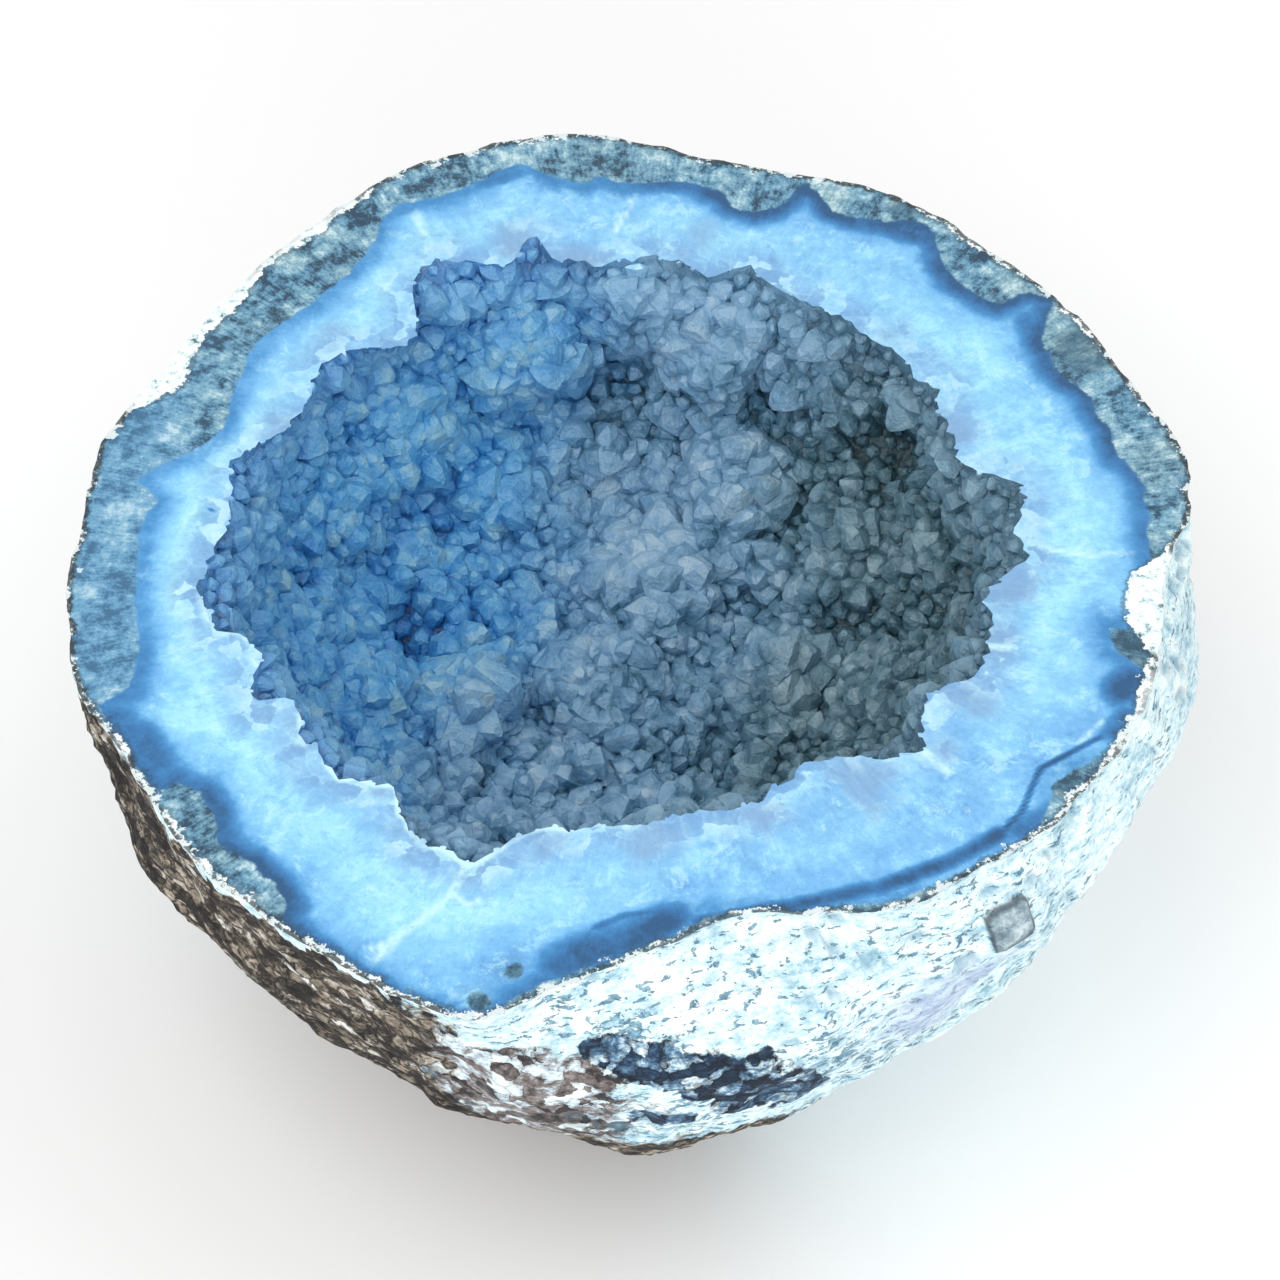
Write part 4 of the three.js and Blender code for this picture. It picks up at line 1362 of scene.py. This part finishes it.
@dataclass
class QuartzScatter:
    """Geometry Nodes that stand quartz points all over a bed. Lengths are in millimetres."""

    spacing: float = 1.15
    widths: tuple[float, float] = (0.7, 1.75)
    heights: tuple[float, float] = (0.7, 1.15)
    lean: float = 0.42
    seed: int = 5
    calm_depth: float = 1.8
    calm_share: float = 0.16
    sides: int = 6
    corner_radii: tuple[float, ...] = (1.0, 0.84, 1.08, 0.92, 1.04, 0.8)
    profile: tuple[tuple[float, float, float], ...] = (
        (-1.5, 0.8, 0.0), (0.2, 1.0, 0.0), (0.7, 0.64, 0.12), (0.98, 0.24, 0.3),
    )

    @property
    def corners(self) -> int:
        """How many vertices one point has."""
        return self.sides * len(self.profile)

    def template(self) -> bpy.types.Object:
        """One closed six-sided quartz point, one unit in radius, standing on the XY plane."""
        made = bmesh.new()
        rings = []
        for height, radius, shift in self.profile:
            ring = []
            for side, corner in enumerate(self.corner_radii):
                turn = FULL_TURN * side / self.sides
                reach = radius * corner
                ring.append(made.verts.new((math.cos(turn) * reach + shift, math.sin(turn) * reach, height)))
            rings.append(ring)
        made.faces.new(list(reversed(rings[0])))
        made.faces.new(rings[-1])
        for low, high in zip(rings, rings[1:]):
            for side in range(self.sides):
                after = (side + 1) % self.sides
                made.faces.new((low[side], low[after], high[after], high[side]))
        mesh = bpy.data.meshes.new("quartz_point")
        made.to_mesh(mesh)
        made.free()
        return new_object("quartz_point", mesh)

    def tree(self) -> bpy.types.NodeTree:
        """Builds the node tree with its named inputs."""
        tree = bpy.data.node_groups.new("quartz points", "GeometryNodeTree")
        face = tree.interface
        face.new_socket("Geometry", in_out="INPUT", socket_type="NodeSocketGeometry")
        face.new_socket("Geometry", in_out="OUTPUT", socket_type="NodeSocketGeometry")
        for name, kind in (("Point", "NodeSocketObject"), ("Spacing", "NodeSocketFloat"),
                           ("Narrowest", "NodeSocketFloat"), ("Widest", "NodeSocketFloat"),
                           ("Lean", "NodeSocketFloat"), ("Saw height", "NodeSocketFloat"),
                           ("Calm depth", "NodeSocketFloat"), ("Seed", "NodeSocketInt"),
                           ("Finish", "NodeSocketMaterial")):
            face.new_socket(name, in_out="INPUT", socket_type=kind)
        self.wire(tree)
        return tree

    def wire(self, tree: bpy.types.NodeTree) -> None:
        """Places and links the nodes of the tree.

        Args:
            tree: The tree, with its inputs already named.
        """
        nodes = tree.nodes
        link = tree.links.new
        given = nodes.new("NodeGroupInput").outputs
        end = nodes.new("NodeGroupOutput")
        spread = nodes.new("GeometryNodeDistributePointsOnFaces")
        spread.distribute_method = "POISSON"
        link(given["Geometry"], spread.inputs["Mesh"])
        link(given["Spacing"], spread.inputs["Distance Min"])
        spread.inputs["Density Max"].default_value = 6.0e6
        link(given["Seed"], spread.inputs["Seed"])
        width = nodes.new("FunctionNodeRandomValue")
        width.data_type = "FLOAT"
        link(given["Narrowest"], width.inputs[2])
        link(given["Widest"], width.inputs[3])
        link(given["Seed"], width.inputs["Seed"])
        tall = nodes.new("FunctionNodeRandomValue")
        tall.data_type = "FLOAT"
        tall.inputs[2].default_value = self.heights[0]
        tall.inputs[3].default_value = self.heights[1]
        tall.inputs["Seed"].default_value = self.seed + 11
        place = nodes.new("GeometryNodeInputPosition")
        parts = nodes.new("ShaderNodeSeparateXYZ")
        link(place.outputs[0], parts.inputs[0])
        below = nodes.new("ShaderNodeMath")
        below.operation = "SUBTRACT"
        link(given["Saw height"], below.inputs[0])
        link(parts.outputs[2], below.inputs[1])
        calm = nodes.new("ShaderNodeMapRange")
        link(below.outputs[0], calm.inputs["Value"])
        calm.inputs["From Min"].default_value = 0.0
        link(given["Calm depth"], calm.inputs["From Max"])
        calm.inputs["To Min"].default_value = self.calm_share
        calm.inputs["To Max"].default_value = 1.0
        vigour = nodes.new("GeometryNodeInputNamedAttribute")
        vigour.data_type = "FLOAT"
        vigour.inputs["Name"].default_value = "vigour"
        grown = nodes.new("ShaderNodeMath")
        grown.operation = "MULTIPLY"
        link(width.outputs[1], grown.inputs[0])
        link(vigour.outputs["Attribute"], grown.inputs[1])
        wide = nodes.new("ShaderNodeMath")
        wide.operation = "MULTIPLY"
        link(grown.outputs[0], wide.inputs[0])
        link(calm.outputs["Result"], wide.inputs[1])
        high = nodes.new("ShaderNodeMath")
        high.operation = "MULTIPLY"
        link(wide.outputs[0], high.inputs[0])
        link(tall.outputs[1], high.inputs[1])
        scale = nodes.new("ShaderNodeCombineXYZ")
        link(wide.outputs[0], scale.inputs[0])
        link(wide.outputs[0], scale.inputs[1])
        link(high.outputs[0], scale.inputs[2])
        turn = nodes.new("FunctionNodeRandomValue")
        turn.data_type = "FLOAT_VECTOR"
        link(given["Seed"], turn.inputs["Seed"])
        low = nodes.new("ShaderNodeCombineXYZ")
        top = nodes.new("ShaderNodeCombineXYZ")
        back = nodes.new("ShaderNodeMath")
        back.operation = "MULTIPLY"
        back.inputs[1].default_value = -1.0
        link(given["Lean"], back.inputs[0])
        for socket in (0, 1):
            link(back.outputs[0], low.inputs[socket])
            link(given["Lean"], top.inputs[socket])
        top.inputs[2].default_value = FULL_TURN
        link(low.outputs[0], turn.inputs[0])
        link(top.outputs[0], turn.inputs[1])
        euler = nodes.new("FunctionNodeEulerToRotation")
        link(turn.outputs[0], euler.inputs[0])
        rotate = nodes.new("FunctionNodeRotateRotation")
        rotate.rotation_space = "LOCAL"
        link(spread.outputs["Rotation"], rotate.inputs[0])
        link(euler.outputs[0], rotate.inputs[1])
        shape = nodes.new("GeometryNodeObjectInfo")
        link(given["Point"], shape.inputs["Object"])
        stand = nodes.new("GeometryNodeInstanceOnPoints")
        link(spread.outputs["Points"], stand.inputs["Points"])
        link(shape.outputs["Geometry"], stand.inputs["Instance"])
        link(rotate.outputs[0], stand.inputs["Rotation"])
        link(scale.outputs[0], stand.inputs["Scale"])
        real = nodes.new("GeometryNodeRealizeInstances")
        link(stand.outputs[0], real.inputs[0])
        dress = nodes.new("GeometryNodeSetMaterial")
        link(real.outputs[0], dress.inputs["Geometry"])
        link(given["Finish"], dress.inputs["Material"])
        link(dress.outputs[0], end.inputs[0])

    def scatter(self, bed: bpy.types.Mesh, saw_height: float, finish: bpy.types.Material) -> bpy.types.Mesh:
        """Stands points on a bed.

        Args:
            bed: Surface that the points grow from, facing into the hollow. It is used up.
            saw_height: Height of the saw cut in millimetres.
            finish: Material of the points.

        Returns:
            One mesh of all points, each still a closed body of its own.
        """
        shown = new_object("bed", bed)
        point = self.template()
        grow = shown.modifiers.new("grow", "NODES")
        grow.node_group = self.tree()
        wanted = {
            "Point": point, "Spacing": self.spacing * MM, "Narrowest": self.widths[0] * MM,
            "Widest": self.widths[1] * MM, "Lean": self.lean, "Saw height": saw_height * MM,
            "Calm depth": self.calm_depth * MM, "Seed": self.seed, "Finish": finish,
        }
        for item in grow.node_group.interface.items_tree:
            if item.in_out == "INPUT" and item.name in wanted:
                grow[item.identifier] = wanted[item.name]
        result = evaluated_mesh(shown, "points")
        discard(shown)
        discard(point)
        return result


@dataclass
class CrystalCrust:
    """Crust of quartz points over the hollow, sliced flat by the saw. Lengths are in millimetres."""

    height: float
    view: PhotoView
    sectors: int = 600
    room_rings: int = 12
    top_rings: int = 36
    bed_sectors: int = 320
    bed_rings: int = 56
    form_blur: float = 3.0
    bed_blur: float = 6.0
    mouth_depth: float = 2.2
    mouth_spread: float = 0.12
    mouth_jag: float = 0.55
    swell_size: float = 5.0
    swell_relief: float = 1.6
    rise_above: float = 3.0
    least_crust: float = 0.9
    bed_tone: float = 0.3
    tip_height: float = 1.3
    edge_drop: float = 0.05
    lid_share: float = 0.45
    overreach_deg: float = 7.0
    overreach_rings: int = 4
    least_fall: float = 0.02
    plain_reach: float = 25.0
    mound_measure: float = 3.0
    mound_vigour: float = 0.38
    right_loss: float = 0.16
    surface: CadSurface = field(default_factory=lambda: CadSurface(CRUST_NODE))
    points: QuartzScatter = field(default_factory=QuartzScatter)

    def __post_init__(self) -> None:
        """Fixes the bearings and the point that all rays meet."""
        self.bearings = np.arange(self.sectors) / self.sectors * FULL_TURN
        self.focus = np.array([0.0, 0.0, self.height])

    def room(self) -> bpy.types.Mesh:
        """Closed bowl that the crust fills, flat on the saw cut."""
        falls = np.linspace(math.pi / 2, 0, self.room_rings + 2)[1:-1]
        rings = []
        for fall in falls:
            heading = headings_at(self.bearings, fall)
            reach = blurred_ring(self.surface.inward(self.focus, heading), self.form_blur)
            rings.append(self.focus + heading * reach[:, None])
        level = headings_at(self.bearings, 0.0)
        mouth = self.mouth_radii()
        for share in np.linspace(1, self.lid_share, self.top_rings):
            rings.append(self.focus + level * (mouth * share)[:, None])
        rings = np.array(rings)
        foot = np.array([0.0, 0.0, rings[0, :, 2].mean()])
        return mesh_from_rings("room", rings, foot, self.focus)

    def mouth_radii(self) -> np.ndarray:
        """Radius of the crust's outer edge on the saw cut, where it meets the stone."""
        below = self.focus - np.array([0.0, 0.0, self.edge_drop])
        mouth = self.surface.inward(below, headings_at(self.bearings, 0.0))
        return blurred_ring(mouth, self.form_blur)

    def swelling(self, points: np.ndarray) -> np.ndarray:
        """How far the bed swells into the hollow: the mounds of the photograph and smaller lumps.

        Args:
            points: Places on the plain bed, one row each.

        Returns:
            One distance for each place.
        """
        swell = 1 - cell_distance(points / self.swell_size, 71) * 1.5
        swell = swell + 0.4 * (1 - cell_distance(points / (self.swell_size * 0.42), 73) * 1.5)
        return swell * self.swell_relief + self.mounds_at(points)

    def mounds_at(self, points: np.ndarray) -> np.ndarray:
        """How far the mounds and recesses of the photograph move each place."""
        total = np.zeros(len(points))
        for mound in MOUNDS:
            ray = self.view.rays([(mound.column, mound.row)])[0]
            middle = self.surface.hit(self.view.eye, ray)
            gap = np.linalg.norm(points - middle, axis=-1) / mound.radius
            total = total + mound.rise * np.clip(1 - gap**2, 0, 1) ** 0.8
        return total

    def bed_points(self, edge: np.ndarray) -> tuple[np.ndarray, np.ndarray]:
        """Rings of the surface that the quartz points grow from, from its foot up.

        Args:
            edge: Corners of the hollow's edge on the saw cut.

        Returns:
            The points by ring and bearing, and the pole at the foot.
        """
        bearings = np.arange(self.bed_sectors) / self.bed_sectors * FULL_TURN
        steps = np.arange(self.bed_sectors)
        jag = wave_hash(np.stack([steps, steps // 2, steps // 3], axis=1), 97) - 0.5
        fringe = radii_at(edge, bearings) + self.mouth_spread + jag * self.mouth_jag
        above = np.linspace(-math.radians(self.overreach_deg), 0, self.overreach_rings + 1)[:-1]
        falls = np.concatenate([np.linspace(math.pi / 2, 0, self.bed_rings + 1)[1:], above[::-1]])
        rings = []
        for fall in falls:
            heading = headings_at(bearings, fall)
            downward = headings_at(bearings, max(fall, self.least_fall))
            reach = self.surface.outward(self.focus, downward)
            reach = blurred_ring(np.nan_to_num(reach, nan=self.plain_reach), self.bed_blur)
            drop = np.maximum(reach * math.sin(fall), 0.0)
            inside = smoothstep(drop, 0.0, self.mouth_depth)
            plan = fringe * (1 - inside) + reach * inside
            plan = fringe if fall <= 0 else plan
            point = self.focus + heading * plan[:, None]
            sunk = plan - self.swelling(point) * inside
            back = blurred_ring(self.surface.inward(self.focus, downward), 1.0)
            deepest = np.maximum(back - self.least_crust, plan * 0.5)
            sunk = np.where(inside > 0.5, np.minimum(sunk, deepest), sunk)
            rings.append(self.focus + heading * sunk[:, None])
        rings = np.array(rings)
        return rings, np.array([0.0, 0.0, rings[0, :, 2].mean()])

    def hollow(self, rings: np.ndarray, foot: np.ndarray) -> bpy.types.Mesh:
        """Closed body of the open hollow, reaching above the saw cut."""
        lid = self.focus + np.array([0.0, 0.0, self.rise_above])
        return mesh_from_rings("hollow", rings, foot, lid)

    def bed_faces(self, rings: np.ndarray, foot: np.ndarray) -> tuple[list, list]:
        """Corners and faces of the bed in millimetres, for measuring distances to it."""
        mesh = self.hollow(rings, foot)
        corners = [vertex.co / MM for vertex in mesh.vertices]
        faces = [tuple(face.vertices) for face in mesh.polygons]
        bpy.data.meshes.remove(mesh)
        return corners, faces

    def growing_bed(self, rings: np.ndarray, foot: np.ndarray) -> bpy.types.Mesh:
        """The bed alone, open at the mouth and facing into the hollow."""
        made = bmesh.new()
        made.from_mesh(self.hollow(rings, foot))
        made.verts.ensure_lookup_table()
        bmesh.ops.delete(made, geom=[made.verts[len(made.verts) - 1]], context="VERTS")
        bmesh.ops.reverse_faces(made, faces=made.faces)
        mesh = bpy.data.meshes.new("bed")
        made.to_mesh(mesh)
        made.free()
        places = np.array([vertex.co for vertex in mesh.vertices]) / MM
        raised = np.clip(self.mounds_at(places) / self.mound_measure, -1, 1)
        right = smoothstep(places[:, 0], 6.0, 14.0)
        vigour = 1.0 + raised * self.mound_vigour - right * self.right_loss
        store_attributes(mesh, {"vigour": vigour})
        return mesh

    def apart(self, crowd: bpy.types.Mesh) -> list[bpy.types.Mesh]:
        """Sorts the quartz points into batches in which none touches another.

        Args:
            crowd: Mesh of all points, each a closed body with the same number of vertices.

        Returns:
            One mesh for each batch.
        """
        each = self.points.corners
        places = np.zeros(len(crowd.vertices) * 3)
        crowd.vertices.foreach_get("co", places)
        bodies = places.reshape(-1, each, 3)
        centres = bodies.mean(axis=1)
        reach = np.linalg.norm(bodies - centres[:, None], axis=2).max(axis=1)
        sides = [tuple(face.vertices) for face in crowd.polygons]
        per_body = [side for side in sides if max(side) < each]
        batches = np.full(len(bodies), -1)
        for index in range(len(bodies)):
            gap = np.linalg.norm(centres[:index] - centres[index], axis=1)
            taken = set(batches[:index][gap < reach[:index] + reach[index]].tolist())
            batches[index] = next(batch for batch in range(len(bodies)) if batch not in taken)
        meshes = []
        for batch in range(int(batches.max()) + 1):
            chosen = bodies[batches == batch]
            faces = [tuple(corner + index * each for corner in side)
                     for index in range(len(chosen)) for side in per_body]
            mesh = bpy.data.meshes.new(f"batch_{batch}")
            mesh.from_pydata(chosen.reshape(-1, 3).tolist(), [], faces)
            tones = wave_hash(np.stack([np.flatnonzero(batches == batch)] * 3, axis=1), 83)
            order = np.arange(len(faces))
            facets = wave_hash(np.stack([order, order + batch * 7919, order], axis=1), 89)
            for name, numbers in (("tone", np.repeat(tones, len(per_body))), ("facet", facets)):
                layer = mesh.attributes.new(name, "FLOAT", "FACE")
                layer.data.foreach_set("value", numbers.astype(np.float32))
            meshes.append(mesh)
        return meshes

    def largest_body(self, mesh: bpy.types.Mesh) -> bpy.types.Mesh:
        """Drops loose chips and sealed pockets, and keeps the biggest body."""
        made = bmesh.new()
        made.from_mesh(mesh)
        unseen = set(made.verts)
        islands = []
        while unseen:
            front = [unseen.pop()]
            island = set(front)
            while front:
                corner = front.pop()
                for edge in corner.link_edges:
                    other = edge.other_vert(corner)
                    if other in unseen:
                        unseen.remove(other)
                        island.add(other)
                        front.append(other)
            islands.append(island)
        islands.sort(key=len)
        loose = [corner for island in islands[:-1] for corner in island]
        bmesh.ops.delete(made, geom=loose, context="VERTS")
        made.to_mesh(mesh)
        made.free()
        return mesh

    def build(self, cut: SawCut) -> bpy.types.Object:
        """Makes the dressed crust.

        Args:
            cut: The saw cut and its layers.

        Returns:
            The crust's object.
        """
        quartz = QuartzFinish().build()
        rings, foot = self.bed_points(cut.crystal_edge)
        crust = combined(self.room(), self.hollow(rings, foot), "DIFFERENCE")
        for name in ("tone", "facet"):
            layer = crust.attributes.new(name, "FLOAT", "FACE")
            layer.data.foreach_set("value", np.full(len(crust.polygons), self.bed_tone, np.float32))
        crowd = self.points.scatter(self.growing_bed(rings, foot), self.height, quartz)
        batches = self.apart(crowd)
        log.info("%d quartz points in %d batches", len(crowd.vertices) // self.points.corners, len(batches))
        for batch in batches:
            crust = combined(crust, batch, "UNION")
        crust = self.largest_body(combined(crust, self.room(), "INTERSECT"))
        crust.name = "quartz_crust"
        crust.materials.clear()
        crust.materials.append(CutFinish().build())
        crust.materials.append(quartz)
        places = np.zeros(len(crust.vertices) * 3)
        crust.vertices.foreach_get("co", places)
        places = places.reshape(-1, 3) / MM
        values = cut.attributes(places[:, :2])
        bed = BVHTree.FromPolygons(*self.bed_faces(rings, foot))
        gaps = np.array([bed.find_nearest(Vector(place))[3] for place in places])
        # proud and mound drive the painted light and shade of the quartz.
        values["proud"] = np.clip(gaps / self.tip_height, 0, 1)
        values["mound"] = self.mounds_at(places)
        store_attributes(crust, values)
        level = np.array([face.normal.z > 0.999 and face.center.z > (self.height - 0.01) * MM
                          for face in crust.polygons])
        slots = np.where(level, CrustZone.CUT.value, CrustZone.QUARTZ.value)
        crust.polygons.foreach_set("material_index", slots)
        crust.polygons.foreach_set("use_smooth", np.zeros(len(crust.polygons), bool))
        crust.update()
        return new_object("quartz_crust", crust)


@dataclass
class Studio:
    """Floor, lights and camera. Lengths are in millimetres."""

    view: PhotoView
    floor_size: float = 4000.0
    key_power: float = 1.0
    fill_power: float = 0.5
    front_power: float = 1.5
    sky_level: float = 0.72

    def lay_floor(self) -> bpy.types.Object:
        """Lays the pale floor under the stone."""
        half = self.floor_size * MM / 2
        mesh = bpy.data.meshes.new("floor")
        corners = [(-half, -half, 0), (half, -half, 0), (half, half, 0), (-half, half, 0)]
        mesh.from_pydata(corners, [], [(0, 1, 2, 3)])
        mesh.materials.append(FloorFinish().build())
        floor = new_object("floor", mesh)
        return floor

    def hang_light(self, name: str, place: tuple[float, float, float], size: float, power: float) -> None:
        """Hangs one soft square light that faces the stone.

        Args:
            name: Name of the light.
            place: Where it hangs, in millimetres.
            size: Length of its side, in millimetres.
            power: Its strength in watts.
        """
        lamp = bpy.data.lights.new(name, "AREA")
        lamp.size = size * MM
        lamp.energy = power
        shown = bpy.data.objects.new(name, lamp)
        shown.location = Vector(place) * MM
        aim = Vector((0, 0, 30)) - Vector(place)
        shown.rotation_euler = aim.to_track_quat("-Z", "Y").to_euler()
        bpy.context.scene.collection.objects.link(shown)

    def set_sky(self) -> None:
        """Even pale light from all round."""
        world = bpy.data.worlds.new("sky")
        world.use_nodes = True
        back = world.node_tree.nodes["Background"]
        back.inputs["Color"].default_value = (1.0, 1.0, 1.0, 1.0)
        back.inputs["Strength"].default_value = self.sky_level
        bpy.context.scene.world = world

    def place_camera(self) -> None:
        """Stands the camera where the photograph was taken."""
        lens = bpy.data.cameras.new("camera")
        lens.sensor_width = self.view.sensor_mm
        lens.lens = self.view.focal_px / self.view.frame_px * self.view.sensor_mm
        lens.clip_start = 0.01
        shown = bpy.data.objects.new("camera", lens)
        shown.location = Vector(self.view.eye) * MM
        shown.rotation_euler = (math.radians(90 - self.view.elevation_deg), 0, 0)
        bpy.context.scene.collection.objects.link(shown)
        bpy.context.scene.camera = shown

    def build(self) -> None:
        """Sets up the whole studio."""
        self.lay_floor()
        self.hang_light("key", (-220, -160, 520), 420, self.key_power)
        self.hang_light("fill", (380, 120, 420), 500, self.fill_power)
        self.hang_light("front", (40, -560, 150), 420, self.front_power)
        self.set_sky()
        self.place_camera()
        bpy.context.scene.view_settings.view_transform = "Standard"


def hand_over(piece: bpy.types.Object, node: str) -> None:
    """Ties a piece to the body, hides the solid that it stands for, and reports its triangles.

    Args:
        piece: The finished piece.
        node: The solid that it replaces.
    """
    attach(piece, BODY)
    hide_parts(node)
    triangles = sum(len(face.vertices) - 2 for face in piece.data.polygons)
    log.info("%s: %d triangles", piece.name, triangles)


def main() -> None:
    """Builds the stone, its crystals and the studio."""
    logging.basicConfig(level=logging.INFO, format="%(name)s: %(message)s")
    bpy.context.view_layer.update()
    view = PhotoView()
    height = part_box(STONE_NODE)[1].z / MM
    wall = StoneWall(height)
    rim = wall.rim_radii()
    cut = SawCut(
        height=height,
        rim=np.stack([np.cos(wall.bearings) * rim, np.sin(wall.bearings) * rim], axis=1)[::3],
        crystal_edge=view.on_saw_cut(CRYSTAL_EDGE, height),
        grey_edge=view.on_saw_cut(GREY_LAYER_EDGE, height),
        view=view,
    )
    crust = CrystalCrust(height, view)
    hand_over(wall.build(cut, rim, crust.mouth_radii()), STONE_NODE)
    hand_over(crust.build(cut), CRUST_NODE)
    Studio(view).build()


if __name__ == "__main__":
    main()
